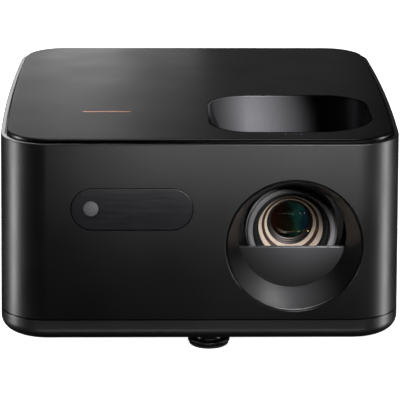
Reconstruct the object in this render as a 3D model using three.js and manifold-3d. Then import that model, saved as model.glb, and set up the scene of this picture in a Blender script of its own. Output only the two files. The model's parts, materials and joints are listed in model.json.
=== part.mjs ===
// A compact home projector: a drafted shell band with bowed sides, a raised top plate with a finger well over
// the lens, a deep round lens well with a half-moon ledge, and everything that it holds inside.
// Millimetres, +Z up. The front faces -Y, X runs to the right seen from the front, and z = 0 is the table.

import * as THREE from "three";
import { mergeVertices } from "three/addons/utils/BufferGeometryUtils.js";
import Module from "manifold-3d";

const wasm = await Module();
wasm.setup();

// Overall form
const WIDTH = 210; // across the bowed sides, at the rim
const DEPTH = 218;
const PLATE_TOP_Z = 117;
const RIM_Z = 115;
const SEAM_Z = 20.4;
const BODY_BOTTOM_Z = 8.6;
const SIDE_BOW = 3;
const CORNER_R = 24.6;
const SIDE_DRAFT = 0.0199; // each side leans out by this much per unit of height, going down
const WALL = 2.2;
const GAP = 0.3; // between pieces that rest on each other
const SEAM_HALF = 0.3;
const RIM_EDGE = 0.7;
const FRONT_Y = -DEPTH / 2;
const BACK_Y = DEPTH / 2;

// Top plate and its finger well
const PLATE_INSET = 3;
const PLATE_EDGE = 0.86;
const LEDGE_TOP_Z = 113.6;
const LEDGE_BOTTOM_Z = 108;
const LEDGE_REACH = 4.4;
const WELL = { x: 48, y: -53, width: 84, depth: 76, radius: 21, wideRadius: 30, floorZ: 93.3, wall: 1.2 };
const WELL_FLOOR = 2;

// Base tray
const TRAY_FILLET = 7;
const TRAY_FLOOR = 2.4;
const FLOOR_Z = BODY_BOTTOM_Z + TRAY_FLOOR;

// Lens, on one axis along Y
const LENS_X = 48.5;
const LENS_Z = 60.5;
const LENS_HOLE_R = 35.5;
const CONE = { mouthR: 34.5, throatR: 28.2, throatY: -91, flangeR: 38.8, wall: 1.5, setBack: 0.3 };
const LEDGE_CHORD_Z = 54.3;
const CELL_R = 24.4;
const CELL_FRONT_Y = -83;
const ELEMENT_R = 17.1;
const FOCUS_R = 35.5;
const FOCUS_RIDGES = 36;
const FOCUS_Y = [-57, -43];
const BARREL_R = 28;

// Air slots: on both sides from sideY backwards, and along the back above the sockets
const SLOTS = { width: 3, pitch: 8.5, sideCount: 12, sideY: -12, sideZ: [40, 88], backCount: 13, backZ: [82, 102] };

// Sensor window
const WINDOW = { x: -35.2, z: 80.5, length: 63, height: 22.7 };
const SENSOR = { x: -56.3, z: 80.6, radius: 4.15 };

// Feet and fixings
const FOOT = { x: 5, y: -88, discR: 11.2, neckR: 7, studR: 4 };
const REAR_FOOT = { x: 78, y: 80, radius: 9.5 };
const BASE_SCREW = { x: 84, y: 56, headR: 3.1, shankR: 1.5 };

// Rear panel and its sockets: x of each socket's centre
const PANEL = { x: 0, z: 54, width: 118, height: 34, radius: 5, y: 106.6, thickness: 1.8 };
const PORT_BOARD_Z = 44.8;
const HDMI = { x: 16, width: 14, height: 4.6, wall: 0.8 };
const USB = { x: -8, width: 12.5, height: 5.2, wall: 0.8 };
const JACK = { x: 44, radius: 3.1, pinR: 1 };
const AUDIO = { x: -28, radius: 1.8 };
const BUTTON = { x: -46, z: 54, radius: 4.5, collarR: 5.9, back: 103, front: BACK_Y };

// Cooling and light engine
const FAN = { side: 60, depth: 15, bore: 28.5, x: 82, y: 18, z: 60, blades: 7, hubR: 10.5 };
const ENGINE = { halfWidth: 28.5, y0: -24, y1: 40, z0: 36, z1: 85 };
const PIPE_YS = [-3, 25];
const PIPE_R = 3;
const PIPE_Z = 40.5;
const SINK = { x0: -78, x1: -24, y0: -12, y1: 48, baseZ: 36, finZ: 45, topZ: 82, fins: 16, finThick: 1 };

// Boards and speakers
const BOARD_THICK = 1.6;
const MAIN_BOARD = { x: 88, y0: -25, y1: 52, z: 23.2, postX: 80, postYs: [-18, 45] };
const POWER_BOARD = { x0: -88, x1: -12, y0: -90, y1: -34, z: 34 };
const SPEAKER = { x: 66, depth: 31, y0: 54, y1: 88, z0: 28, z1: 84, wall: 2, driverR: 14.5 };

const FINISH = {
  shell: { color: 0x2a2a2c, roughness: 0.55, metalness: 0 },
  satin: { color: 0x303032, roughness: 0.38, metalness: 0 },
  innerBlack: { color: 0x1a1a1b, roughness: 0.6, metalness: 0 },
  gloss: { color: 0x29292c, roughness: 0.15, metalness: 0 },
  grey: { color: 0x5a5a5c, roughness: 0.4, metalness: 0 },
  rubber: { color: 0x18181a, roughness: 0.85, metalness: 0 },
  glass: { color: 0x8fa6ab, roughness: 0.03, metalness: 0 },
  aluminium: { color: 0xb9bbbd, roughness: 0.4, metalness: 1 },
  blackMetal: { color: 0x3a3a3c, roughness: 0.35, metalness: 1 },
  copper: { color: 0xb87350, roughness: 0.35, metalness: 1 },
  brass: { color: 0xb89b58, roughness: 0.35, metalness: 1 },
  steel: { color: 0x9a9ca0, roughness: 0.35, metalness: 1 },
  board: { color: 0x1f4d33, roughness: 0.5, metalness: 0 },
  magnesium: { color: 0x77797c, roughness: 0.55, metalness: 1 },
};

// ---- solids ----

// A closed three.js geometry as a solid for joining and cutting, facing out whichever way it was drawn.
function solid(geometry) {
  const bare = geometry.index ? geometry.toNonIndexed() : geometry.clone();
  bare.deleteAttribute("normal");
  bare.deleteAttribute("uv");
  const merged = mergeVertices(bare, 1e-4);
  const corners = merged.index.array;
  const kept = [];
  for (let i = 0; i < corners.length; i += 3) {
    const [a, b, c] = corners.slice(i, i + 3);
    if (a !== b && b !== c && c !== a) kept.push([a, b, c]);
  }
  const make = (faces) =>
    new wasm.Manifold(
      new wasm.Mesh({
        numProp: 3,
        vertProperties: merged.attributes.position.array,
        triVerts: new Uint32Array(faces.flat()),
      }),
    );
  const made = make(kept);
  return made.volume() > 0 ? made : make(kept.map(([a, b, c]) => [a, c, b]));
}

// A solid back as a three.js geometry.
function geometryOf(made) {
  const { vertProperties, triVerts } = made.getMesh();
  const geometry = new THREE.BufferGeometry();
  geometry.setAttribute("position", new THREE.BufferAttribute(vertProperties, 3));
  geometry.setIndex(new THREE.BufferAttribute(triVerts, 1));
  const flat = geometry.toNonIndexed();
  flat.computeVertexNormals();
  return flat;
}

const join = (first, ...others) => others.reduce((made, other) => made.add(other), first);
const cut = (first, ...tools) => tools.reduce((made, tool) => made.subtract(tool), first);

function block([x0, x1], [y0, y1], [z0, z1]) {
  const geometry = new THREE.BoxGeometry(x1 - x0, y1 - y0, z1 - z0);
  return solid(geometry.translate((x0 + x1) / 2, (y0 + y1) / 2, (z0 + z1) / 2));
}

function rodY(x, z, radius, y0, y1, sides = 32, radiusBack = radius) {
  const geometry = new THREE.CylinderGeometry(radiusBack, radius, y1 - y0, sides);
  return solid(geometry.translate(x, (y0 + y1) / 2, z));
}

function rodZ(x, y, radius, z0, z1, sides = 32, radiusTop = radius) {
  const geometry = new THREE.CylinderGeometry(radiusTop, radius, z1 - z0, sides);
  return solid(geometry.rotateX(Math.PI / 2).translate(x, y, (z0 + z1) / 2));
}

function rodX(y, z, radius, x0, x1, sides = 32) {
  const geometry = new THREE.CylinderGeometry(radius, radius, x1 - x0, sides);
  return solid(geometry.rotateZ(-Math.PI / 2).translate((x0 + x1) / 2, y, z));
}

// A shape in X and Y, extruded up from z0 to z1, with its edges rounded at both ends.
function prismGeometry(shape, z0, z1, edge = 0, edgeSteps = 2) {
  const geometry = new THREE.ExtrudeGeometry(shape, {
    depth: z1 - z0 - 2 * edge,
    curveSegments: 4,
    bevelEnabled: edge > 0,
    bevelSize: edge,
    bevelThickness: edge,
    bevelOffset: -edge,
    bevelSegments: edgeSteps,
  });
  return geometry.translate(0, 0, z0 + edge);
}

const prism = (...args) => solid(prismGeometry(...args));

// A shape in X and Z, extruded along Y from y0 to y1.
function prismY(shape, y0, y1) {
  const geometry = new THREE.ExtrudeGeometry(shape, { depth: y1 - y0, curveSegments: 4, bevelEnabled: false });
  return solid(geometry.rotateX(Math.PI / 2).translate(0, y1, 0));
}

// A closed profile of [radius, y] points turned about the Y axis.
function latheY(profile, sides = 32, x = 0, z = 0) {
  const points = profile.map(([radius, y]) => new THREE.Vector2(radius, y));
  return solid(new THREE.LatheGeometry(points, sides).translate(x, 0, z));
}

function ringY(inner, outer, y0, y1, sides = 32) {
  return latheY([[inner, y0], [outer, y0], [outer, y1], [inner, y1], [inner, y0]], sides);
}

function roundedRectangle(x, y, width, height, radius, lowRightRadius = radius) {
  const [right, top] = [width / 2 - radius, height / 2 - radius];
  const shape = new THREE.Shape();
  const lowRight = [x + width / 2 - lowRightRadius, y - height / 2 + lowRightRadius];
  shape.absarc(...lowRight, lowRightRadius, -Math.PI / 2, 0, false);
  shape.absarc(x + right, y + top, radius, 0, Math.PI / 2, false);
  shape.absarc(x - right, y + top, radius, Math.PI / 2, Math.PI, false);
  shape.absarc(x - right, y - top, radius, Math.PI, 1.5 * Math.PI, false);
  shape.closePath();
  return shape;
}

// ---- the body's outline ----

// The plan of the body at the rim, drawn in by inset: straight front and back, bowed sides, round corners
// that meet the bowed sides without a kink.
function planShape(inset) {
  const half = WIDTH / 2 - inset;
  const halfDepth = DEPTH / 2 - inset;
  const radius = CORNER_R - inset;
  const cornerY = halfDepth - radius;
  const lean = Math.atan((8 * SIDE_BOW * cornerY) / DEPTH ** 2);
  const endY = cornerY + radius * Math.sin(lean);
  const endX = half - 4 * SIDE_BOW * (endY / DEPTH) ** 2;
  const cornerX = endX - radius * Math.cos(lean);
  const bowX = 2 * half - endX;
  const shape = new THREE.Shape();
  shape.absarc(cornerX, -cornerY, radius, -Math.PI / 2, -lean, false);
  shape.quadraticCurveTo(bowX, 0, endX, endY);
  shape.absarc(cornerX, cornerY, radius, lean, Math.PI / 2, false);
  shape.absarc(-cornerX, cornerY, radius, Math.PI / 2, Math.PI - lean, false);
  shape.quadraticCurveTo(-bowX, 0, -endX, -endY);
  shape.absarc(-cornerX, -cornerY, radius, Math.PI + lean, 1.5 * Math.PI, false);
  shape.closePath();
  return shape;
}

// The plan extruded between two heights, with both sides leaning out as they go down.
function bodyPrism(inset, z0, z1, edge = 0, edgeSteps = 2) {
  const geometry = prismGeometry(planShape(inset), z0, z1, edge, edgeSteps);
  const place = geometry.attributes.position;
  for (let i = 0; i < place.count; i += 1) {
    const spread = 1 + (SIDE_DRAFT * (RIM_Z - place.getZ(i))) / (WIDTH / 2);
    place.setX(i, place.getX(i) * spread);
  }
  return solid(geometry);
}

// ---- casing ----

const windowShape = (grow) =>
  roundedRectangle(
    WINDOW.x,
    WINDOW.z,
    WINDOW.length + 2 * grow,
    WINDOW.height + 2 * grow,
    WINDOW.height / 2 + grow - 0.01,
  );
const panelShape = (grow) =>
  roundedRectangle(PANEL.x, PANEL.z, PANEL.width + 2 * grow, PANEL.height + 2 * grow, PANEL.radius + grow);

// The finger well: its front corner on the outer side is rounder than the others.
const wellShape = (grow) =>
  roundedRectangle(
    WELL.x,
    WELL.y,
    WELL.width + 2 * grow,
    WELL.depth + 2 * grow,
    WELL.radius + grow,
    WELL.wideRadius + grow,
  );

// Air slots through the sides and the back.
function airSlots() {
  const { width, pitch, sideCount, sideY, sideZ, backCount, backZ } = SLOTS;
  const half = width / 2;
  const made = [];
  for (let i = 0; i < sideCount; i += 1) {
    const y = sideY + i * pitch;
    made.push(block([-WIDTH, -WIDTH / 2 + 12], [y - half, y + half], sideZ));
    made.push(block([WIDTH / 2 - 12, WIDTH], [y - half, y + half], sideZ));
  }
  for (let i = 0; i < backCount; i += 1) {
    const x = (i - (backCount - 1) / 2) * pitch;
    made.push(block([x - half, x + half], [BACK_Y - 6, BACK_Y + 6], backZ));
  }
  return made;
}

function shellBand() {
  const outer = bodyPrism(0, SEAM_Z + SEAM_HALF, RIM_Z, RIM_EDGE);
  const hollows = [
    bodyPrism(WALL, 0, LEDGE_BOTTOM_Z),
    bodyPrism(WALL + LEDGE_REACH, LEDGE_BOTTOM_Z - 1, LEDGE_TOP_Z + 1),
    bodyPrism(WALL, LEDGE_TOP_Z, PLATE_TOP_Z + 5),
  ];
  const lensHole = rodY(LENS_X, LENS_Z, LENS_HOLE_R, FRONT_Y - 5, FRONT_Y + 5, 40);
  const windowHole = prismY(windowShape(0), FRONT_Y - 5, FRONT_Y + 5);
  const panelHole = prismY(panelShape(GAP), BACK_Y - 5, BACK_Y + 5);
  return cut(outer, ...hollows, lensHole, windowHole, panelHole, ...airSlots());
}

function topPlate() {
  const plate = bodyPrism(PLATE_INSET, LEDGE_TOP_Z + GAP - PLATE_EDGE, PLATE_TOP_Z, PLATE_EDGE, 1);
  const underside = block([-WIDTH, WIDTH], [-DEPTH, DEPTH], [LEDGE_TOP_Z - 5, LEDGE_TOP_Z + GAP]);
  const hole = prism(wellShape(WELL.wall + GAP), LEDGE_TOP_Z - 5, PLATE_TOP_Z + 5);
  return cut(plate, underside, hole);
}

// The well's liner: a round-cornered cup whose floor is slotted where the focus ring stands up through it.
function wellLiner() {
  const lip = PLATE_TOP_Z - 0.2;
  const cup = prism(wellShape(WELL.wall), WELL.floorZ - WELL_FLOOR, lip);
  const inside = prism(wellShape(0), WELL.floorZ, lip + 5);
  const slotHalf = 18.6;
  const slotY = [FOCUS_Y[0] - 1, FOCUS_Y[1] + 1];
  const slot = block([LENS_X - slotHalf, LENS_X + slotHalf], slotY, [WELL.floorZ - 5, WELL.floorZ + 5]);
  return cut(cup, inside, slot);
}

function baseTray() {
  const top = SEAM_Z - SEAM_HALF;
  const aboveTray = block([-WIDTH, WIDTH], [-DEPTH, DEPTH], [top, RIM_Z]);
  const outer = bodyPrism(0, BODY_BOTTOM_Z, top + 20, TRAY_FILLET, 3);
  const inner = bodyPrism(WALL, FLOOR_Z, top + 20, TRAY_FILLET - WALL, 1);
  const posts = [];
  const bores = [];
  for (const side of [-1, 1]) {
    for (const y of MAIN_BOARD.postYs) {
      posts.push(rodZ(side * MAIN_BOARD.postX, y, 3, FLOOR_Z - 1, MAIN_BOARD.z - GAP, 8));
    }
    for (const y of [-BASE_SCREW.y, BASE_SCREW.y]) {
      posts.push(rodZ(side * BASE_SCREW.x, y, 6, FLOOR_Z - 1, 18, 14));
      bores.push(rodZ(side * BASE_SCREW.x, y, BASE_SCREW.headR + GAP, BODY_BOTTOM_Z - 1, 12.5, 16));
      bores.push(rodZ(side * BASE_SCREW.x, y, BASE_SCREW.shankR + GAP, 12, 19, 10));
    }
  }
  for (const x of [POWER_BOARD.x0 + 6, POWER_BOARD.x1 - 6]) {
    for (const y of [POWER_BOARD.y0 + 6, POWER_BOARD.y1 - 6]) {
      posts.push(rodZ(x, y, 3, FLOOR_Z - 1, POWER_BOARD.z - GAP, 8));
    }
  }
  posts.push(rodZ(FOOT.x, FOOT.y, 10, FLOOR_Z - 1, 25, 20));
  bores.push(rodZ(FOOT.x, FOOT.y, 7 + GAP, BODY_BOTTOM_Z - 1, 26, 20));
  posts.push(rodZ(0, 0, 9, FLOOR_Z - 1, 21, 20));
  bores.push(rodZ(0, 0, 6 + GAP, BODY_BOTTOM_Z - 1, 22, 20));
  for (let i = 0; i < 6; i += 1) {
    for (const x of [-70 + i * SLOTS.pitch, 70 - i * SLOTS.pitch]) {
      bores.push(block([x - SLOTS.width / 2, x + SLOTS.width / 2], [-8, 36], [BODY_BOTTOM_Z - 1, FLOOR_Z + 1]));
    }
  }
  return cut(join(cut(outer, inner, aboveTray), ...posts), ...bores);
}

// ---- front: lens well and sensor window ----

// The dark cone that leads in to the lens, glued behind the front wall by its flange. Its lip fills the hole in
// the wall, set back a little from the outer face all round.
function lensCone() {
  const { mouthR, throatR, throatY, flangeR, wall, setBack } = CONE;
  const flangeY = FRONT_Y + WALL + GAP;
  const lipR = LENS_HOLE_R - GAP;
  const innerR = (y) => throatR + ((mouthR - throatR) * (throatY - y)) / (throatY - FRONT_Y);
  const backY = flangeY + wall;
  const funnel = latheY(
    [
      [innerR(flangeY), flangeY],
      [throatR, throatY],
      [throatR + wall, throatY],
      [innerR(backY) + wall, backY],
      [flangeR, backY],
      [flangeR, flangeY],
      [innerR(flangeY), flangeY],
    ],
    40,
    LENS_X,
    LENS_Z,
  );
  const lip = latheY(
    [[mouthR, FRONT_Y], [lipR, FRONT_Y], [lipR, backY], [innerR(backY), backY], [mouthR, FRONT_Y]],
    40,
    LENS_X,
    LENS_Z,
  );
  return join(
    funnel.intersect(bodyPrism(WALL + GAP, SEAM_Z, LEDGE_BOTTOM_Z)),
    lip.intersect(bodyPrism(setBack, SEAM_Z, LEDGE_BOTTOM_Z)),
  );
}

// The half-moon that closes the lower part of the well, level across its top.
function lensLedge() {
  const disc = rodY(0, 0, CONE.throatR + CONE.wall, CONE.throatY + GAP, CONE.throatY + 2.3, 40);
  return cut(disc, block([-40, 40], [-100, -80], [LEDGE_CHORD_Z - LENS_Z, 40]));
}

function sensorWindow() {
  const pane = prismY(windowShape(-0.25), FRONT_Y + 0.15, -106.4);
  const flange = prismY(windowShape(1.5), -106.5, -105.3);
  const hole = rodY(SENSOR.x, SENSOR.z, SENSOR.radius + GAP, FRONT_Y - 1, -100, 24);
  return cut(join(pane, flange), hole);
}

// ---- lens ----

function focusCell() {
  return latheY([
    [20.2, CELL_FRONT_Y],
    [CELL_R, CELL_FRONT_Y],
    [CELL_R, -48],
    [ELEMENT_R + GAP, -48],
    [ELEMENT_R + GAP, -72.6],
    [19, -79.5],
    [20.2, CELL_FRONT_Y],
  ]);
}

// A lens element: two faces bulging by the given heights, and a cylindrical edge between them.
function lensElement(radius, frontY, backY, frontBulge, backBulge) {
  const steps = 3;
  const profile = [];
  for (let i = 0; i <= steps; i += 1) {
    const r = (radius * i) / steps;
    profile.push([r, frontY - frontBulge * (1 - (r / radius) ** 2)]);
  }
  for (let i = steps; i >= 0; i -= 1) {
    const r = (radius * i) / steps;
    profile.push([r, backY + backBulge * (1 - (r / radius) ** 2)]);
  }
  return latheY(profile, 24);
}

function lensBarrel() {
  const shoulder = 30;
  const [rearBore, back] = [13, ENGINE.y0 - GAP];
  return latheY([
    [CELL_R + 0.4, -74],
    [BARREL_R, -74],
    [BARREL_R, FOCUS_Y[1] + GAP],
    [shoulder, FOCUS_Y[1] + GAP],
    [shoulder, -40],
    [BARREL_R, -40],
    [BARREL_R, back - 3],
    [shoulder, back - 3],
    [shoulder, back],
    [rearBore, back],
    [rearBore, -38],
    [CELL_R + 0.4, -38],
    [CELL_R + 0.4, -74],
  ]);
}

// The focus ring, with ridges round its rim for a fingertip.
function focusRing() {
  const shape = new THREE.Shape();
  for (let i = 0; i < FOCUS_RIDGES * 2; i += 1) {
    const turn = (i / FOCUS_RIDGES) * Math.PI;
    const radius = FOCUS_R - (i % 2) * 0.9;
    const point = [radius * Math.cos(turn), radius * Math.sin(turn)];
    if (i === 0) shape.moveTo(...point);
    else shape.lineTo(...point);
  }
  shape.closePath();
  const bore = rodY(0, 0, BARREL_R + GAP, FOCUS_Y[0] - 1, FOCUS_Y[1] + 1, 32);
  return cut(prismY(shape, ...FOCUS_Y), bore);
}

// ---- light engine and cooling ----

function lightEngine() {
  const half = ENGINE.halfWidth;
  const middle = (ENGINE.z0 + ENGINE.z1) / 2 - LENS_Z;
  const body = block([-half, half], [ENGINE.y0, ENGINE.y1], [ENGINE.z0 - LENS_Z, ENGINE.z1 - LENS_Z]);
  const beam = rodY(0, 0, 12, ENGINE.y0 - 1, ENGINE.y0 + 20, 24);
  const feet = [-1, 1].map((side) =>
    block([side * 20 - 4, side * 20 + 4], [ENGINE.y0 + 4, ENGINE.y1 - 4], [-35, ENGINE.z0 - LENS_Z + 1]),
  );
  const relief = block([-half - 1, -half + 6], [ENGINE.y0 + 48, ENGINE.y1 + 1], [middle + 8, 40]);
  return cut(join(body, ...feet), beam, relief);
}

// One LED on its copper star plate, facing +X.
function ledModule() {
  const star = block([-3, 0.5], [-11, 11], [-12, 12]);
  return join(star, block([-4.5, -2.5], [-5, 5], [-5, 5]), rodX(0, 0, 5, 0, 2.6, 20));
}

function heatSink() {
  const bores = PIPE_YS.map((y) => rodX(y, PIPE_Z, PIPE_R + 0.6, SINK.x0 - 1, SINK.x1 + 1, 16));
  const base = block([SINK.x0, SINK.x1], [SINK.y0, SINK.y1], [SINK.baseZ, SINK.finZ]);
  const pitch = (SINK.y1 - SINK.y0 - SINK.finThick) / (SINK.fins - 1);
  const fins = [];
  for (let i = 0; i < SINK.fins; i += 1) {
    const y = SINK.y0 + i * pitch;
    fins.push(block([SINK.x0, SINK.x1], [y, y + SINK.finThick], [SINK.finZ - 0.5, SINK.topZ]));
  }
  return cut(join(base, ...fins), ...bores);
}

// A heat pipe: straight through the sink's base, then a gentle bend up to its LED.
function heatPipe(endX) {
  const [bendX, middleX] = [SINK.x1 + 3, (SINK.x1 + endX) / 2];
  const low = (x) => new THREE.Vector3(x, 0, PIPE_Z);
  const high = (x) => new THREE.Vector3(x, 0, LENS_Z);
  const route = new THREE.CurvePath();
  route.add(new THREE.LineCurve3(low(SINK.x0 + 3), low(bendX)));
  route.add(new THREE.CubicBezierCurve3(low(bendX), low(middleX), high(middleX), high(endX - 3)));
  route.add(new THREE.LineCurve3(high(endX - 3), high(endX)));
  const section = new THREE.Shape().absarc(0, 0, PIPE_R, 0, 2 * Math.PI, false);
  return solid(new THREE.ExtrudeGeometry(section, { steps: 22, curveSegments: 4, extrudePath: route }));
}

// A fan's frame about its own axis, X: a square with a round bore and a motor mount on three struts.
function fanFrame() {
  const half = FAN.side / 2;
  const body = cut(block([0, FAN.depth], [-half, half], [-half, half]), rodX(0, 0, FAN.bore, -1, FAN.depth + 1, 32));
  const mount = rodX(0, 0, FAN.hubR, 0, 2, 24);
  const struts = [0, 1, 2].map((i) => {
    const strut = new THREE.BoxGeometry(2, 2.4, FAN.bore + 1);
    const turn = (i * 2 * Math.PI) / 3;
    return solid(strut.translate(1, 0, (FAN.bore + 1) / 2).rotateX(turn));
  });
  return join(body, mount, ...struts);
}

function fanRotor() {
  const hub = rodX(0, 0, FAN.hubR, 2.5, FAN.depth - 1, 24);
  const reach = FAN.bore - 1 - FAN.hubR + 2;
  const blades = [];
  for (let i = 0; i < FAN.blades; i += 1) {
    const blade = new THREE.BoxGeometry(12, 1, reach);
    blade.rotateZ(Math.PI / 4).translate(8, 0, FAN.hubR - 2 + reach / 2);
    blades.push(solid(blade.rotateX((i * 2 * Math.PI) / FAN.blades)));
  }
  return join(hub, ...blades);
}

// ---- boards, speakers and sockets ----

function mainBoard() {
  const { x, y0, y1, z } = MAIN_BOARD;
  const top = z + BOARD_THICK;
  return join(
    block([-x, x], [y0, y1], [z, top]),
    block([-46, -18], [-6, 22], [top - 0.1, top + 2]),
    block([2, 22], [24, 44], [top - 0.1, top + 1.6]),
    block([-70, -60], [10, 40], [top - 0.1, top + 3]),
  );
}

function powerBoard() {
  const { x0, x1, y0, y1, z } = POWER_BOARD;
  const top = z + BOARD_THICK;
  const caps = [0, 1, 2].map((i) => rodZ(x0 + 12 + i * 12, y0 + 14, 5, top - 0.1, top + 16, 16));
  const coil = block([x1 - 30, x1 - 8], [y0 + 8, y0 + 30], [top - 0.1, top + 14]);
  const plug = block([x0 + 8, x0 + 30], [y1 - 12, y1 - 4], [top - 0.1, top + 8]);
  return join(block([x0, x1], [y0, y1], [z, top]), ...caps, coil, plug);
}

// A speaker's cabinet, drawn for the right side: open where the driver sits, facing +X.
function speakerBox() {
  const { depth, y0, y1, z0, z1, wall, driverR } = SPEAKER;
  const outer = block([0, depth], [y0, y1], [z0, z1]);
  const inner = block([wall, depth - wall], [y0 + wall, y1 - wall], [z0 + wall, z1 - wall]);
  const mouth = rodX((y0 + y1) / 2, (z0 + z1) / 2, driverR, depth - wall - 1, depth + 1, 32);
  return cut(outer, inner, mouth);
}

// A speaker's driver, about Y: rim, paper cone and magnet, pointing +Y.
function speakerDriver() {
  const rim = SPEAKER.driverR - GAP;
  return latheY(
    [[0, 4], [4, 3.4], [rim - 2, 10.5], [rim, 10.5], [rim, 8.5], [9, 0], [11, 0], [11, -7], [0, -7]],
    20,
  );
}

// A rectangular socket lying on the port board, open towards the back.
function rectangularSocket({ x, width, height, wall }) {
  const z0 = PORT_BOARD_Z + GAP;
  const outer = block([x - width / 2 - wall, x + width / 2 + wall], [93, 106.2], [z0, z0 + height + 2 * wall]);
  const inner = block([x - width / 2, x + width / 2], [94.5, 107], [z0 + wall, z0 + wall + height]);
  return cut(outer, inner);
}

function powerJack() {
  const z = PANEL.z - 2;
  const body = block([JACK.x - 5, JACK.x + 5], [92, 106.2], [PORT_BOARD_Z + GAP, z + 5]);
  const pin = rodY(JACK.x, z, JACK.pinR, 93, 105, 12);
  return join(cut(body, rodY(JACK.x, z, JACK.radius, 94.5, 107, 24)), pin);
}

function audioJack() {
  const z = PANEL.z - 4;
  const body = block([AUDIO.x - 4, AUDIO.x + 4], [93, 106.2], [PORT_BOARD_Z + GAP, z + 4]);
  return cut(body, rodY(AUDIO.x, z, AUDIO.radius, 95, 107, 20));
}

function portPanel() {
  const { y, thickness } = PANEL;
  const socketZ = (port) => PORT_BOARD_Z + GAP + port.wall + port.height / 2;
  const holes = [HDMI, USB].map((port) => {
    const half = [port.width / 2 + 0.4, port.height / 2 + 0.4];
    const middle = socketZ(port);
    return block([port.x - half[0], port.x + half[0]], [y - 1, BACK_Y + 1], [middle - half[1], middle + half[1]]);
  });
  holes.push(rodY(JACK.x, PANEL.z - 2, JACK.radius + 0.6, y - 1, BACK_Y + 1, 24));
  holes.push(rodY(AUDIO.x, PANEL.z - 4, AUDIO.radius + 0.6, y - 1, BACK_Y + 1, 24));
  holes.push(rodY(BUTTON.x, BUTTON.z, BUTTON.radius + GAP, y - 1, BACK_Y + 1, 32));
  return cut(prismY(panelShape(0), y, y + thickness), ...holes);
}

function powerButton() {
  const { x, z, radius, collarR, back, front } = BUTTON;
  return join(rodY(x, z, radius, back, front, 28), rodY(x, z, collarR, PANEL.y - 1.6, PANEL.y - GAP, 28));
}

function portBoard() {
  const { x, z } = BUTTON;
  const half = PANEL.width / 2 - 2;
  const board = block([-half, half], [86, 106], [PORT_BOARD_Z - BOARD_THICK, PORT_BOARD_Z]);
  const switchBody = block([x - 4, x + 4], [96, 101.6], [PORT_BOARD_Z - 0.5, z + 4]);
  return join(board, switchBody);
}

// ---- feet and fixings, each about its own axis ----

// The levelling foot's screw: a finger disc, a neck and a stud, hollowed below for the pad's peg.
function footScrew() {
  const { discR, neckR, studR } = FOOT;
  return cut(
    join(
      rodZ(0, 0, discR, 1.5, 3.6, 28),
      rodZ(0, 0, neckR, 3.5, BODY_BOTTOM_Z - GAP, 24),
      rodZ(0, 0, studR, BODY_BOTTOM_Z - 1, 27, 16),
    ),
    rodZ(0, 0, 2.8, 1, 3.3, 12),
  );
}

function footPad() {
  return join(rodZ(0, 0, 10.4, 0, 1.2, 28), rodZ(0, 0, 2.5, 1, 3, 12));
}

const bush = (inner, outer, z0, z1) => cut(rodZ(0, 0, outer, z0, z1, 20), rodZ(0, 0, inner, z0 - 1, z1 + 1, 16));

function baseScrew() {
  const head = rodZ(0, 0, BASE_SCREW.headR, 10, 12.1, 16);
  const drive = rodZ(0, 0, 1.3, 9, 11, 6);
  return cut(join(head, rodZ(0, 0, BASE_SCREW.shankR, 12, 20, 10)), drive);
}

// ---- assembly ----

function piece(name, made, finish) {
  const mesh = new THREE.Mesh(geometryOf(made), new THREE.MeshStandardMaterial(FINISH[finish]));
  mesh.name = name;
  return mesh;
}

function groupAt(x, y, z, ...meshes) {
  const group = new THREE.Group();
  group.position.set(x, y, z);
  group.add(...meshes);
  return group;
}

function casing() {
  return groupAt(
    0, 0, 0,
    piece("shell_band", shellBand(), "shell"),
    piece("top_plate", topPlate(), "satin"),
    piece("well_liner", wellLiner(), "satin"),
    piece("base_tray", baseTray(), "shell"),
    piece("lens_cone", lensCone(), "shell"),
    piece("sensor_window", sensorWindow(), "gloss"),
    piece("sensor_cover", rodY(SENSOR.x, SENSOR.z, SENSOR.radius, FRONT_Y + 0.3, -107, 24), "grey"),
    piece("sensor_module", block([-63, -49], [-105, -95], [74, 87]), "innerBlack"),
  );
}

function lens() {
  return groupAt(
    LENS_X, 0, LENS_Z,
    piece("lens_ledge", lensLedge(), "shell"),
    piece("lens_barrel", lensBarrel(), "blackMetal"),
    piece("focus_ring", focusRing(), "innerBlack"),
    piece("focus_ring_retainer", ringY(BARREL_R + GAP, 30, -59.6, FOCUS_Y[0] - GAP), "steel"),
    piece("focus_cell", focusCell(), "blackMetal"),
    piece("front_lens", lensElement(ELEMENT_R, -68, -65, 3.6, 1.2), "glass"),
    piece("lens_spacer", ringY(ELEMENT_R - 1.8, ELEMENT_R, -63.4, -57.8), "innerBlack"),
    piece("aperture_stop", ringY(8.9, ELEMENT_R, -57.4, -56.6), "innerBlack"),
    piece("middle_lens", lensElement(ELEMENT_R, -54, -51, 1.6, 1.2), "glass"),
    piece("rear_lens", lensElement(12.6, -34, -31, 1.5, 1.5), "glass"),
  );
}

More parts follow.
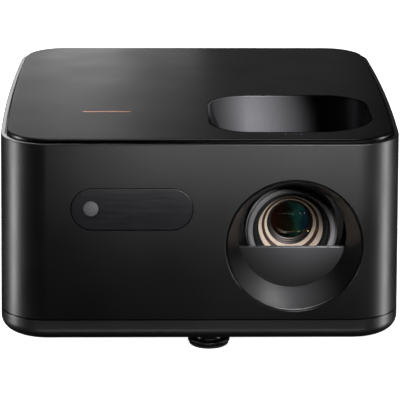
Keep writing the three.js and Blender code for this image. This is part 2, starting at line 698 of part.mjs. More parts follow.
function lightSource() {
  const dmdY = ENGINE.y1 + GAP;
  const engine = groupAt(LENS_X, 0, LENS_Z, piece("light_engine", lightEngine(), "magnesium"));
  const [red, green, blue] = ["red_led", "green_led", "blue_led"].map((name) => piece(name, ledModule(), "copper"));
  const ledX = LENS_X - ENGINE.halfWidth - 3;
  red.position.set(ledX, PIPE_YS[0], LENS_Z);
  green.position.set(ledX, PIPE_YS[1] - 5, LENS_Z - 4);
  blue.position.set(LENS_X, 14, ENGINE.z1 + 3);
  blue.rotation.y = Math.PI / 2;
  const chipBoard = piece("dmd_board", block([-30, 30], [dmdY, dmdY + BOARD_THICK], [-26, 22]), "board");
  const chipFins = [0, 1, 2, 3, 4, 5].map((i) =>
    block([-17.5 + 6.4 * i, -15.5 + 6.4 * i], [dmdY + 4, dmdY + 14], [-16, 12]),
  );
  const chipBase = block([-17.5, 16.5], [dmdY + BOARD_THICK + GAP, dmdY + 5], [-16, 12]);
  const chipSink = piece("dmd_heat_sink", join(chipBase, ...chipFins), "aluminium");
  return groupAt(0, 0, 0, engine, red, green, blue, groupAt(LENS_X, 0, LENS_Z, chipBoard, chipSink));
}

function cooling() {
  const group = groupAt(0, 0, 0, piece("heat_sink", heatSink(), "aluminium"));
  const pipeEndX = LENS_X - ENGINE.halfWidth - 8;
  ["front_heat_pipe", "rear_heat_pipe"].forEach((name, i) => {
    const pipe = piece(name, heatPipe(pipeEndX), "copper");
    pipe.position.y = PIPE_YS[i];
    group.add(pipe);
  });
  [["intake", -FAN.x - FAN.depth], ["exhaust", FAN.x]].forEach(([name, x]) => {
    const frame = piece(`${name}_fan_frame`, fanFrame(), "innerBlack");
    const rotor = piece(`${name}_fan_rotor`, fanRotor(), "innerBlack");
    group.add(groupAt(x, FAN.y, FAN.z, frame, rotor));
  });
  return group;
}

function electronics() {
  const group = groupAt(
    0, 0, 0,
    piece("main_board", mainBoard(), "board"),
    piece("power_board", powerBoard(), "board"),
    piece("port_board", portBoard(), "board"),
    piece("port_panel", portPanel(), "innerBlack"),
    piece("hdmi_socket", rectangularSocket(HDMI), "steel"),
    piece("usb_socket", rectangularSocket(USB), "steel"),
    piece("power_jack", powerJack(), "innerBlack"),
    piece("audio_jack", audioJack(), "innerBlack"),
    piece("power_button", powerButton(), "gloss"),
  );
  const [middleY, middleZ] = [(SPEAKER.y0 + SPEAKER.y1) / 2, (SPEAKER.z0 + SPEAKER.z1) / 2];
  [["left", -1], ["right", 1]].forEach(([name, side]) => {
    const cabinet = piece(`${name}_speaker_box`, speakerBox(), "innerBlack");
    const driver = piece(`${name}_speaker_driver`, speakerDriver(), "innerBlack");
    cabinet.rotation.z = side < 0 ? Math.PI : 0;
    cabinet.position.set(side * SPEAKER.x, side < 0 ? 2 * middleY : 0, 0);
    driver.rotation.z = (-side * Math.PI) / 2;
    driver.position.set(side * (SPEAKER.x + SPEAKER.depth - 10.5), middleY, middleZ);
    group.add(cabinet, driver);
  });
  return group;
}

function feetAndFixings() {
  const group = groupAt(
    FOOT.x, FOOT.y, 0,
    piece("foot_screw", footScrew(), "innerBlack"),
    piece("foot_pad", footPad(), "rubber"),
    piece("foot_bush", bush(FOOT.studR + GAP, 7, BODY_BOTTOM_Z + 0.2, 24.8), "brass"),
  );
  const all = groupAt(0, 0, 0, group, piece("tripod_insert", bush(3.2, 6, BODY_BOTTOM_Z + 0.1, 20.8), "brass"));
  for (const [name, side] of [["left", -1], ["right", 1]]) {
    const { x, y, radius } = REAR_FOOT;
    const foot = piece(`${name}_rear_foot`, rodZ(0, 0, radius - 1, 0, BODY_BOTTOM_Z - GAP, 24, radius), "rubber");
    foot.position.set(side * x, y, 0);
    all.add(foot);
    for (const [end, front] of [["front", -1], ["rear", 1]]) {
      const screw = piece(`${name}_${end}_screw`, baseScrew(), "steel");
      screw.position.set(side * BASE_SCREW.x, front * BASE_SCREW.y, 0);
      all.add(screw);
    }
  }
  return all;
}

const projector = new THREE.Group();
projector.name = "home_projector";
projector.add(casing(), lens(), lightSource(), cooling(), electronics(), feetAndFixings());

export default projector;
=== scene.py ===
"""Looks of a compact home projector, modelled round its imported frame.

Every builder works in millimetres and in the frame's axes: the lens side faces -Y, X runs to the right seen
from the front, and Z points up from the table. A mesh is turned to metres as it is stored, so each piece's
object stays at the origin with its place in its mesh. The studio's lamps and camera are placed in metres.
"""

import functools
import json
import logging
import math
from dataclasses import dataclass
from enum import Enum
from typing import Iterable, Sequence

import bmesh
import bpy
from mathutils import Matrix, Vector

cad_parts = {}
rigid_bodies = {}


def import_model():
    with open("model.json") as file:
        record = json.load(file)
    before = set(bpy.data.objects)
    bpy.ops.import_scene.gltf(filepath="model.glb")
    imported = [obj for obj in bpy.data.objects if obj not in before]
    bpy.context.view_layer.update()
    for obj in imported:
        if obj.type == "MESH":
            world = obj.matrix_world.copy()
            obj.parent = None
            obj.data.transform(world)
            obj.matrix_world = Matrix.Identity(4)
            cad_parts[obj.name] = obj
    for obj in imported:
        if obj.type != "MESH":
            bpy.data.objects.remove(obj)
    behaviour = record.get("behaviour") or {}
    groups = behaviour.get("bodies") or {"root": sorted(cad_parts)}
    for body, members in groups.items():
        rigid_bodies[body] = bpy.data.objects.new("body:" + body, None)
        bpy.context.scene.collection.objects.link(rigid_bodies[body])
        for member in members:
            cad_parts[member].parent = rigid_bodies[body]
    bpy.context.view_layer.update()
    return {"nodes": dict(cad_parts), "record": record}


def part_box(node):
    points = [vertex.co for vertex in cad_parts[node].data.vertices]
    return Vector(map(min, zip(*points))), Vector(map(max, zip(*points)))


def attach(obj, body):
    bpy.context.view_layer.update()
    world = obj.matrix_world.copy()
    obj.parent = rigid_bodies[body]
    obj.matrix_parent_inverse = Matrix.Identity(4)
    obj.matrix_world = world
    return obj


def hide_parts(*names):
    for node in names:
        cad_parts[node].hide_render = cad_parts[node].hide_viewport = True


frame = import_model()

LOG = logging.getLogger("home_projector")
MM = 0.001
CHASSIS = "chassis"
TINY = 1e-4
SHARP = math.radians(32)
FACING = 0.99  # a face looks along a direction when its normal has at least this much of it

# Sockets of the colour Mix node, which share their names with those for numbers
FACTOR, FIRST, SECOND, BLEND = 0, 6, 7, 2

Point = tuple[float, float]
Corner = tuple[float, float, float]
Tree = bpy.types.NodeTree
Node = bpy.types.Node
Socket = bpy.types.NodeSocket


class Axis(Enum):
    """The axis that a prism runs along or a profile is turned about."""

    X = 0
    Y = 1
    Z = 2

    @property
    def vector(self) -> Vector:
        """The axis as a unit vector."""
        return Vector([float(self.value == i) for i in range(3)])


class Side(Enum):
    """The left and right half of the case, seen from the front."""

    LEFT = -1
    RIGHT = 1


# ---- boxes of the frame ----


@dataclass(frozen=True)
class Extent:
    """A CAD node's box in millimetres."""

    low: Vector
    high: Vector

    @classmethod
    def of(cls, name: str) -> "Extent":
        """The box of one node.

        Args:
            name: The node's name.
        Returns:
            Its box at rest.
        """
        low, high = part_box(name)
        return cls(Vector(low) / MM, Vector(high) / MM)

    @property
    def centre(self) -> Vector:
        """The box's middle."""
        return (self.low + self.high) / 2

    @property
    def size(self) -> Vector:
        """The box's width, depth and height."""
        return self.high - self.low

    def hub(self, axis: Axis) -> Vector:
        """Where a line through the box's middle, along an axis, starts.

        Args:
            axis: The axis.
        Returns:
            The box's middle, at zero along the axis.
        """
        middle = self.centre
        middle[axis.value] = 0.0
        return middle


# ---- meshes ----


def block(low: Corner, high: Corner) -> bmesh.types.BMesh:
    """A box between two corners.

    Args:
        low: Its lowest corner.
        high: Its highest corner.
    Returns:
        The box's mesh.
    """
    bm = bmesh.new()
    bmesh.ops.create_cube(bm, size=1)
    low_corner, high_corner = Vector(low), Vector(high)
    bmesh.ops.scale(bm, vec=high_corner - low_corner, verts=bm.verts)
    bmesh.ops.translate(bm, vec=(low_corner + high_corner) / 2, verts=bm.verts)
    return bm


def edges_along(bm: bmesh.types.BMesh, axis: Axis) -> list[bmesh.types.BMEdge]:
    """The edges that run straight along one axis.

    Args:
        bm: The mesh.
        axis: The axis.
    Returns:
        Those edges.
    """
    found = []
    for edge in bm.edges:
        run = edge.verts[1].co - edge.verts[0].co
        if abs(run.dot(axis.vector)) > run.length - TINY:
            found.append(edge)
    return found


def round_edges(bm: bmesh.types.BMesh, edges: Iterable, radius: float, steps: int = 3) -> None:
    """Rounds edges to a radius.

    Args:
        bm: The mesh.
        edges: The edges to round.
        radius: The round's radius.
        steps: How many faces the round has across it.
    """
    bmesh.ops.bevel(
        bm,
        geom=list(edges),
        offset=radius,
        segments=steps,
        profile=0.5,
        affect="EDGES",
        material=-1,
    )


def rounded_block(
    low: Corner,
    high: Corner,
    radius: float,
    axis: Axis,
    steps: int = 8,
    wide: float | None = None,
) -> bmesh.types.BMesh:
    """A box whose four edges along one axis are rounded.

    Args:
        low: Its lowest corner.
        high: Its highest corner.
        radius: The corner radius.
        axis: The axis that the rounded edges run along.
        steps: How many faces each corner has.
        wide: The radius of the front corner on the right, where it differs.
    Returns:
        The box's mesh.
    """
    bm = block(low, high)
    edges = edges_along(bm, axis)
    if wide is not None:
        corner = max(edges, key=lambda edge: edge.verts[0].co.x - edge.verts[0].co.y)
        edges.remove(corner)
        round_edges(bm, [corner], wide, steps)
    round_edges(bm, edges, radius, steps)
    bmesh.ops.remove_doubles(bm, verts=bm.verts, dist=10 * TINY)
    return bm


def end_face(bm: bmesh.types.BMesh, direction: Vector) -> bmesh.types.BMFace:
    """The face that lies furthest along a direction and looks that way.

    Args:
        bm: The mesh.
        direction: A unit vector.
    Returns:
        The face.
    """

    def rank(face: bmesh.types.BMFace) -> tuple[float, float]:
        """How far along the direction a face lies, and then how large it is."""
        return round(face.calc_center_median().dot(direction), 3), face.calc_area()

    bm.normal_update()
    return max((face for face in bm.faces if face.normal.dot(direction) > FACING), key=rank)


def inset(bm: bmesh.types.BMesh, face: bmesh.types.BMFace, reach: float) -> None:
    """Draws a face in by the same distance all round, which leaves a rim.

    Args:
        bm: The mesh.
        face: The face, which becomes the inner one.
        reach: The rim's width.
    """
    bmesh.ops.inset_region(bm, faces=[face], thickness=reach, use_even_offset=True)


def push(bm: bmesh.types.BMesh, face: bmesh.types.BMFace, move: Corner) -> bmesh.types.BMFace:
    """Extrudes one face along a vector.

    Args:
        bm: The mesh.
        face: The face.
        move: How far it goes.
    Returns:
        The face at the extrusion's end.
    """
    moved = bmesh.ops.extrude_discrete_faces(bm, faces=[face])["faces"][0]
    bmesh.ops.translate(bm, vec=move, verts=moved.verts)
    return moved


def revolve(profile: Sequence[Point], centre: Vector, axis: Axis, steps: int = 96) -> bmesh.types.BMesh:
    """Turns a profile about an axis.

    Args:
        profile: Points of radius and height. It starts and ends on the axis, or closes on itself.
        centre: A point that the axis passes through, whose place along the axis is zero height.
        axis: The axis.
        steps: How many faces go round.
    Returns:
        The turned mesh.
    """
    bm = bmesh.new()
    out = Axis.X if axis is Axis.Z else Axis.Z
    along, away = axis.vector, out.vector
    verts = [bm.verts.new(centre + away * radius + along * height) for radius, height in profile]
    if profile[0][0] > TINY:
        verts.append(verts[0])
    edges = [bm.edges.new(pair) for pair in zip(verts, verts[1:])]
    bmesh.ops.spin(
        bm,
        geom=list(dict.fromkeys(verts)) + edges,
        cent=centre,
        axis=along,
        angle=2 * math.pi,
        steps=steps,
        use_merge=True,
    )
    bmesh.ops.remove_doubles(bm, verts=bm.verts, dist=TINY)
    bmesh.ops.dissolve_degenerate(bm, edges=bm.edges, dist=TINY)
    bmesh.ops.recalc_face_normals(bm, faces=bm.faces)
    return bm


def store(name: str, bm: bmesh.types.BMesh) -> bpy.types.Object:
    """Keeps a mesh as an object of the scene, in metres.

    Args:
        name: The piece's name.
        bm: Its mesh in millimetres, which is used up.
    Returns:
        The object.
    """
    bmesh.ops.scale(bm, vec=(MM, MM, MM), verts=bm.verts)
    mesh = bpy.data.meshes.new(name)
    bm.to_mesh(mesh)
    bm.free()
    made = bpy.data.objects.new(name, mesh)
    bpy.context.scene.collection.objects.link(made)
    return made


def carve(piece: bpy.types.Object, *cutters: bmesh.types.BMesh) -> None:
    """Cuts openings through a piece.

    Args:
        piece: The piece, whose mesh is replaced.
        cutters: Closed meshes in millimetres of what is taken away.
    """
    tools = [store(f"{piece.name}_cutter", cutter) for cutter in cutters]
    for tool in tools:
        step = piece.modifiers.new("opening", "BOOLEAN")
        step.operation = "DIFFERENCE"
        step.solver = "EXACT"
        step.object = tool
    shown = piece.evaluated_get(bpy.context.evaluated_depsgraph_get())
    carved = bpy.data.meshes.new_from_object(shown)
    piece.modifiers.clear()
    solid = piece.data
    piece.data = carved
    bpy.data.meshes.remove(solid)
    for tool in tools:
        bpy.data.meshes.remove(tool.data)


def gather(parts: Iterable[bmesh.types.BMesh]) -> bmesh.types.BMesh:
    """Several separate bodies as one mesh.

    Args:
        parts: Their meshes, which are used up.
    Returns:
        The one mesh.
    """
    whole = bmesh.new()
    for part in parts:
        mesh = bpy.data.meshes.new("part")
        part.to_mesh(mesh)
        part.free()
        whole.from_mesh(mesh)
        bpy.data.meshes.remove(mesh)
    return whole


def shade(piece: bpy.types.Object, limit: float = SHARP) -> None:
    """Shades a piece smooth up to an angle, with large faces kept flat.

    Args:
        piece: The piece.
        limit: Edges that turn by more than this stay sharp.
    """
    bm = bmesh.new()
    bm.from_mesh(piece.data)
    for face in bm.faces:
        face.smooth = True
    for edge in bm.edges:
        edge.smooth = edge.calc_face_angle(0.0) < limit
    bm.to_mesh(piece.data)
    bm.free()
    weights = piece.modifiers.new("weighted normals", "WEIGHTED_NORMAL")
    weights.keep_sharp = True


# ---- finishes ----


def linear(colour: str) -> tuple[float, float, float, float]:
    """An sRGB hex colour as linear light.

    Args:
        colour: Such as #1d1d1f.
    Returns:
        Red, green, blue and an alpha of one.
    """
    shares = [int(colour[i : i + 2], 16) / 255 for i in (1, 3, 5)]
    light = [s / 12.92 if s <= 0.04045 else ((s + 0.055) / 1.055) ** 2.4 for s in shares]
    return (light[0], light[1], light[2], 1.0)


def per_metre(size: float) -> float:
    """The scale of a pattern whose features are this many millimetres across."""
    return 1 / (size * MM)


def node(tree: Tree, kind: str, inputs: dict | None = None, **settings: object) -> Node:
    """Adds a node with its settings, values and links.

    Args:
        tree: The material's nodes.
        kind: The node's type.
        inputs: A value, or another node's output, for each input by name or number.
        settings: The node's own properties.
    Returns:
        The node.
    """
    made = tree.nodes.new(kind)
    for name, value in settings.items():
        setattr(made, name, value)
    for key, value in (inputs or {}).items():
        if isinstance(value, Socket):
            tree.links.new(value, made.inputs[key])
        else:
            made.inputs[key].default_value = value
    return made


@dataclass(frozen=True)
class Finish:
    """A surface finish: what it is made of and how its surface was made."""

    title: str
    colour: str
    roughness: float
    metallic: float = 0.0

    def pattern(self, tree: Tree, shader: Node, place: Socket) -> None:
        """Draws the finish's detail.

        Args:
            tree: The material's nodes.
            shader: The surface shader, already at the finish's colour and roughness.
            place: The piece's own coordinates in metres.
        """

    def toned(self, tree: Tree, share: Socket, dark: float, light: float) -> Socket:
        """The finish's colour, varied by a pattern.

        Args:
            tree: The material's nodes.
            share: The pattern, from 0 to 1.
            dark: What multiplies the colour at 0.
            light: What multiplies it at 1.
        Returns:
            The varied colour.
        """
        base = Vector(linear(self.colour)[:3])
        inputs = {FACTOR: share, FIRST: (*(base * dark), 1.0), SECOND: (*(base * light), 1.0)}
        return node(tree, "ShaderNodeMix", inputs, data_type="RGBA").outputs[BLEND]


def join(tree: Tree, shader: Node, **sources: Socket) -> None:
    """Feeds a shader's sockets.

    Args:
        tree: The material's nodes.
        shader: The shader.
        sources: What feeds each socket, by the socket's name in lower case with underscores.
    """
    for name, source in sources.items():
        tree.links.new(source, shader.inputs[name.replace("_", " ").title()])


@functools.cache
def material_of(finish: Finish) -> bpy.types.Material:
    """The material of a finish, made once.

    Args:
        finish: The finish.
    Returns:
        Its material.
    """
    made = bpy.data.materials.new(finish.title)
    made.use_nodes = True
    tree = made.node_tree
    tree.nodes.clear()
    values = {
        "Base Color": linear(finish.colour),
        "Roughness": finish.roughness,
        "Metallic": finish.metallic,
    }
    shader = node(tree, "ShaderNodeBsdfPrincipled", values)
    node(tree, "ShaderNodeOutputMaterial", {"Surface": shader.outputs[0]})
    finish.pattern(tree, shader, node(tree, "ShaderNodeTexCoord").outputs["Object"])
    return made


@dataclass(frozen=True)
class MouldedPlastic(Finish):
    """ABS from a spark-eroded mould: fine even grain, faint speckle, and edges that hands have polished."""

    grain: float = 0.55  # real spark grain is nearer 0.1 mm, which is too fine to show
    depth: float = 0.018
    speckle: float = 0.35
    cloud: float = 38.0
    edge_colour: str = "#343437"
    edge_reach: float = 0.5
    most_wear: float = 0.6
    sheen: float = 0.03

    def pattern(self, tree: Tree, shader: Node, place: Socket) -> None:
        """Grain, speckle, clouding and edge wear; see Finish.pattern."""
        grain = node(
            tree,
            "ShaderNodeTexNoise",
            {"Vector": place, "Scale": per_metre(self.grain), "Detail": 3.0, "Roughness": 0.65},
        ).outputs["Fac"]
        cloud = node(
            tree,
            "ShaderNodeTexNoise",
            {"Vector": place, "Scale": per_metre(self.cloud), "Detail": 2.0},
        ).outputs["Fac"]
        rounded = node(tree, "ShaderNodeBevel", {"Radius": self.edge_reach * MM}, samples=4).outputs[0]
        flat = node(tree, "ShaderNodeNewGeometry").outputs["Normal"]
        turn = node(
            tree, "ShaderNodeVectorMath", {0: rounded, 1: flat}, operation="DOT_PRODUCT"
        ).outputs["Value"]
        spread = {"From Min": 0.32, "From Max": 0.68}
        speck = node(tree, "ShaderNodeMapRange", {"Value": grain, **spread}).outputs[0]
        toned = self.toned(tree, speck, 1 - self.speckle, 1 + self.speckle)
        worn = {"Value": turn, "From Min": 0.97, "From Max": 0.85, "To Min": 0.0, "To Max": self.most_wear}
        wear = node(tree, "ShaderNodeMapRange", worn).outputs[0]
        mix = {FACTOR: wear, FIRST: toned, SECOND: linear(self.edge_colour)}
        colour = node(tree, "ShaderNodeMix", mix, data_type="RGBA").outputs[BLEND]
        dull, bright = self.roughness + self.sheen, self.roughness - self.sheen
        clouded = {"Value": cloud, **spread, "To Min": bright, "To Max": dull}
        rough = node(tree, "ShaderNodeMapRange", clouded).outputs[0]
        polished = node(
            tree, "ShaderNodeMath", {0: rough, 1: wear}, operation="SUBTRACT", use_clamp=True
        ).outputs[0]
        eased = node(
            tree, "ShaderNodeMath", {0: polished, 1: self.roughness * 0.6}, operation="MAXIMUM"
        ).outputs[0]
        bump = node(
            tree, "ShaderNodeBump", {"Height": grain, "Strength": 1.0, "Distance": self.depth * MM}
        ).outputs[0]
        join(tree, shader, base_color=colour, roughness=eased, normal=bump)


@dataclass(frozen=True)
class SatinPaint(Finish):
    """Soft satin lacquer sprayed on: almost smooth, with a faint orange peel and cloudy gloss."""

    peel: float = 1.6
    flake: float = 0.45
    depth: float = 0.002
    cloud: float = 30.0

    def pattern(self, tree: Tree, shader: Node, place: Socket) -> None:
        """Orange peel, fine metal flake and clouding; see Finish.pattern."""
        peel = node(
            tree, "ShaderNodeTexNoise", {"Vector": place, "Scale": per_metre(self.peel), "Detail": 2.0}
        ).outputs["Fac"]
        flake = node(
            tree, "ShaderNodeTexNoise", {"Vector": place, "Scale": per_metre(self.flake), "Detail": 1.0}
        ).outputs["Fac"]
        cloud = node(
            tree, "ShaderNodeTexNoise", {"Vector": place, "Scale": per_metre(self.cloud), "Detail": 3.0}
        ).outputs["Fac"]
        colour = self.toned(tree, flake, 0.8, 1.2)
        haze = {
            "Value": cloud,
            "From Min": 0.3,
            "From Max": 0.7,
            "To Min": self.roughness - 0.025,
            "To Max": self.roughness + 0.025,
        }
        rough = node(tree, "ShaderNodeMapRange", haze).outputs[0]
        bump = node(tree, "ShaderNodeBump", {"Height": peel, "Distance": self.depth * MM}).outputs[0]
        join(tree, shader, base_color=colour, roughness=rough, normal=bump)


@dataclass(frozen=True)
class Acrylic(Finish):
    """Dark infra-red-passing acrylic, polished in the mould: an even gloss with faint wiping marks."""

    wipe: float = 1.5

    def pattern(self, tree: Tree, shader: Node, place: Socket) -> None:
        """Wiping marks in the gloss; see Finish.pattern."""
        strokes = {"Vector": place, "Rotation": (0.0, 0.5, 0.0), "Scale": (0.15, 1.0, 1.0)}
        stretched = node(tree, "ShaderNodeMapping", strokes).outputs[0]
        wipe = node(
            tree, "ShaderNodeTexNoise", {"Vector": stretched, "Scale": per_metre(self.wipe), "Detail": 4.0}
        ).outputs["Fac"]
        haze = {"Value": wipe, "From Min": 0.3, "From Max": 0.7, "To Min": self.roughness - 0.02}
        rough = node(tree, "ShaderNodeMapRange", {**haze, "To Max": self.roughness + 0.05}).outputs[0]
        join(tree, shader, base_color=self.toned(tree, wipe, 0.88, 1.12), roughness=rough)


@dataclass(frozen=True)
class Rubber(Finish):
    """Moulded rubber: dead matt, with a dusty bloom in patches."""

    grain: float = 0.5

    def pattern(self, tree: Tree, shader: Node, place: Socket) -> None:
        """Grain and bloom; see Finish.pattern."""
        grain = node(
            tree, "ShaderNodeTexNoise", {"Vector": place, "Scale": per_metre(self.grain), "Detail": 3.0}
        ).outputs["Fac"]
        bloom = node(
            tree, "ShaderNodeTexNoise", {"Vector": place, "Scale": per_metre(6.0), "Detail": 2.0}
        ).outputs["Fac"]
        colour = self.toned(tree, bloom, 0.7, 1.6)
        bump = node(tree, "ShaderNodeBump", {"Height": grain, "Distance": 0.03 * MM}).outputs[0]
        join(tree, shader, base_color=colour, normal=bump)


@dataclass(frozen=True)
class TurnedMetal(Finish):
    """Metal turned on a lathe: fine rings about its own axis that break the highlight into arcs."""

    ring: float = 0.35
    centre: Corner = (0.0, 0.0, 0.0)
    depth: float = 0.004

    def pattern(self, tree: Tree, shader: Node, place: Socket) -> None:
        """Turning rings and fine mottling; see Finish.pattern."""
        middle = [-value * MM for value in self.centre]
        about = node(tree, "ShaderNodeMapping", {"Vector": place, "Location": middle}).outputs[0]
        wave = {"Vector": about, "Scale": per_metre(self.ring) / 20, "Distortion": 0.3, "Detail": 2.0}
        rings = node(
            tree, "ShaderNodeTexWave", wave, wave_type="RINGS", rings_direction="Y"
        ).outputs["Fac"]
        mottle = node(
            tree, "ShaderNodeTexNoise", {"Vector": place, "Scale": per_metre(2.5), "Detail": 4.0}
        ).outputs["Fac"]
        colour = self.toned(tree, mottle, 0.82, 1.18)
        haze = {"Value": rings, "To Min": self.roughness - 0.06, "To Max": self.roughness + 0.06}
        rough = node(tree, "ShaderNodeMapRange", haze).outputs[0]
        bump = node(tree, "ShaderNodeBump", {"Height": rings, "Distance": self.depth * MM}).outputs[0]
        join(tree, shader, base_color=colour, roughness=rough, normal=bump)


@dataclass(frozen=True)
class DrawnMetal(Finish):
    """Drawn, rolled or extruded metal: fine lines along X, with dull tarnish between them."""

    line: float = 0.3
    tarnish: str = "#6a5c50"
    tarnish_share: float = 0.35

    def pattern(self, tree: Tree, shader: Node, place: Socket) -> None:
        """Drawing lines and tarnish; see Finish.pattern."""
        drawn = node(tree, "ShaderNodeMapping", {"Vector": place, "Scale": (0.04, 1.0, 1.0)}).outputs[0]
        lines = node(
            tree, "ShaderNodeTexNoise", {"Vector": drawn, "Scale": per_metre(self.line), "Detail": 3.0}
        ).outputs["Fac"]
        patch = node(
            tree, "ShaderNodeTexNoise", {"Vector": place, "Scale": per_metre(7.0), "Detail": 4.0}
        ).outputs["Fac"]
        share = {"Value": patch, "From Min": 0.45, "From Max": 0.75, "To Max": self.tarnish_share}
        dull = node(tree, "ShaderNodeMapRange", share).outputs[0]
        colour = node(
            tree,
            "ShaderNodeMix",
            {FACTOR: dull, FIRST: linear(self.colour), SECOND: linear(self.tarnish)},
            data_type="RGBA",
        ).outputs[BLEND]
        haze = {"Value": lines, "To Min": self.roughness - 0.1, "To Max": self.roughness + 0.12}
        rough = node(tree, "ShaderNodeMapRange", haze).outputs[0]
        bump = node(tree, "ShaderNodeBump", {"Height": lines, "Distance": 0.006 * MM}).outputs[0]
        join(tree, shader, base_color=colour, roughness=rough, normal=bump)


@dataclass(frozen=True)
class CastMetal(Finish):
    """Die-cast magnesium: a grainy skin with darker flow marks."""

    grain: float = 0.9

    def pattern(self, tree: Tree, shader: Node, place: Socket) -> None:
        """Casting skin and flow marks; see Finish.pattern."""
        grain = node(
            tree, "ShaderNodeTexNoise", {"Vector": place, "Scale": per_metre(self.grain), "Detail": 5.0}
        ).outputs["Fac"]
        flow = node(
            tree,
            "ShaderNodeTexNoise",
            {"Vector": place, "Scale": per_metre(18.0), "Detail": 2.0, "Distortion": 1.5},
        ).outputs["Fac"]
        colour = self.toned(tree, flow, 0.65, 1.25)
        bump = node(tree, "ShaderNodeBump", {"Height": grain, "Distance": 0.05 * MM}).outputs[0]
        join(tree, shader, base_color=colour, normal=bump)


@dataclass(frozen=True)
class CircuitBoard(Finish):
    """Glass-fibre board under green solder mask, through which copper tracks show, with tinned pads."""

    track: float = 2.2
    pad: float = 4.5
    track_colour: str = "#2f6b47"
    pad_colour: str = "#b9b7a8"

    def pattern(self, tree: Tree, shader: Node, place: Socket) -> None:
        """Tracks and pads; see Finish.pattern."""
        cells = {"Vector": place, "Scale": per_metre(self.track), "Randomness": 0.35}
        tracks = node(
            tree, "ShaderNodeTexVoronoi", cells, feature="DISTANCE_TO_EDGE", distance="EUCLIDEAN"
        ).outputs["Distance"]
        pads = node(tree, "ShaderNodeTexVoronoi", {**cells, "Scale": per_metre(self.pad)}).outputs["Distance"]
        fall = {"To Min": 1.0, "To Max": 0.0}
        line = node(
            tree, "ShaderNodeMapRange", {"Value": tracks, "From Min": 0.04, "From Max": 0.09, **fall}
        ).outputs[0]
        pad = node(
            tree, "ShaderNodeMapRange", {"Value": pads, "From Min": 0.1, "From Max": 0.13, **fall}
        ).outputs[0]
        net = {FACTOR: line, FIRST: linear(self.colour), SECOND: linear(self.track_colour)}
        masked = node(tree, "ShaderNodeMix", net, data_type="RGBA").outputs[BLEND]
        tinned = {FACTOR: pad, FIRST: masked, SECOND: linear(self.pad_colour)}
        colour = node(tree, "ShaderNodeMix", tinned, data_type="RGBA").outputs[BLEND]
        bump = node(tree, "ShaderNodeBump", {"Height": line, "Distance": 0.03 * MM}).outputs[0]
        join(tree, shader, base_color=colour, normal=bump)


@dataclass(frozen=True)
class CoatedGlass(Finish):
    """Polished optical glass under an anti-reflection coating: clear, with a weak coloured reflection."""

    film: float = 420.0  # nanometres
    film_index: float = 1.38
    index: float = 1.6
    tint: str = "#faf4ee"

    def pattern(self, tree: Tree, shader: Node, place: Socket) -> None:
        """Lets lamps through and adds the faint haze that cleaning leaves; see Finish.pattern."""
        haze = node(
            tree, "ShaderNodeTexNoise", {"Vector": place, "Scale": per_metre(4.0), "Detail": 3.0}
        ).outputs["Fac"]
        smear = {"Value": haze, "To Min": self.roughness, "To Max": self.roughness + 0.02}
        join(tree, shader, roughness=node(tree, "ShaderNodeMapRange", smear).outputs[0])
        shader.inputs["Transmission Weight"].default_value = 1.0
        shader.inputs["IOR"].default_value = self.index
        shader.inputs["Thin Film Thickness"].default_value = self.film
        shader.inputs["Thin Film IOR"].default_value = self.film_index
        clear = node(tree, "ShaderNodeBsdfTransparent", {"Color": linear(self.tint)}).outputs[0]
        lamp = node(tree, "ShaderNodeLightPath").outputs["Is Shadow Ray"]
        through = node(tree, "ShaderNodeMixShader", {0: lamp, 1: shader.outputs[0], 2: clear})
        output = next(item for item in tree.nodes if item.bl_idname == "ShaderNodeOutputMaterial")
        tree.links.new(through.outputs[0], output.inputs["Surface"])


@dataclass(frozen=True)
class GlowingReflectionPupil(Finish):
    """The inner elements behind the stop: dark glass, with the coloured reflections of its coatings painted
    across it in wine red, sea green and deep blue, and a faint painted glow.
    """

    centre: Corner = (0.0, 0.0, 0.0)
    radius: float = 9.0
    # The colours of the painted reflection, from left to right across the pupil
    reflection_stops: tuple[tuple[float, str], ...] = (
        (0.0, "#2a0d09"),
        (0.28, "#160806"),
        (0.5, "#08120f"),
        (0.72, "#12433a"),
        (1.0, "#0b2038"),
    )

    def pattern(self, tree: Tree, shader: Node, place: Socket) -> None:
        """A painted reflection in three colours across the pupil, which also glows faintly; see
        Finish.pattern.
        """
        middle = [-value / self.radius for value in self.centre]
        scale = (per_metre(self.radius),) * 3
        local = node(
            tree, "ShaderNodeMapping", {"Vector": place, "Location": middle, "Scale": scale}
        ).outputs[0]
        parts = node(tree, "ShaderNodeSeparateXYZ", {0: local}).outputs
        wisps = node(
            tree, "ShaderNodeTexNoise", {"Vector": local, "Scale": 2.2, "Detail": 3.0, "Distortion": 0.6}
        ).outputs["Fac"]
        across = node(tree, "ShaderNodeMath", {0: parts["X"], 1: wisps}, operation="ADD").outputs[0]
        ramp = node(tree, "ShaderNodeValToRGB")
        spread = {"Value": across, "From Min": -0.5, "From Max": 1.5}
        tree.links.new(node(tree, "ShaderNodeMapRange", spread).outputs[0], ramp.inputs[0])
        stretch = ramp.color_ramp.elements
        for end in (0, -1):
            stretch[end].position, stretch[end].color = self.reflection_stops[end][0], linear(self.reflection_stops[end][1])
        for position, colour in self.reflection_stops[1:-1]:
            stretch.new(position).color = linear(colour)
        # The painted reflection also feeds the emission, so the pupil glows faintly though it is no lamp
        join(tree, shader, base_color=ramp.outputs[0], emission_color=ramp.outputs[0])
        shader.inputs["Emission Strength"].default_value = 0.35
        shader.inputs["Coat Weight"].default_value = 1.0
        shader.inputs["Coat Roughness"].default_value = 0.02


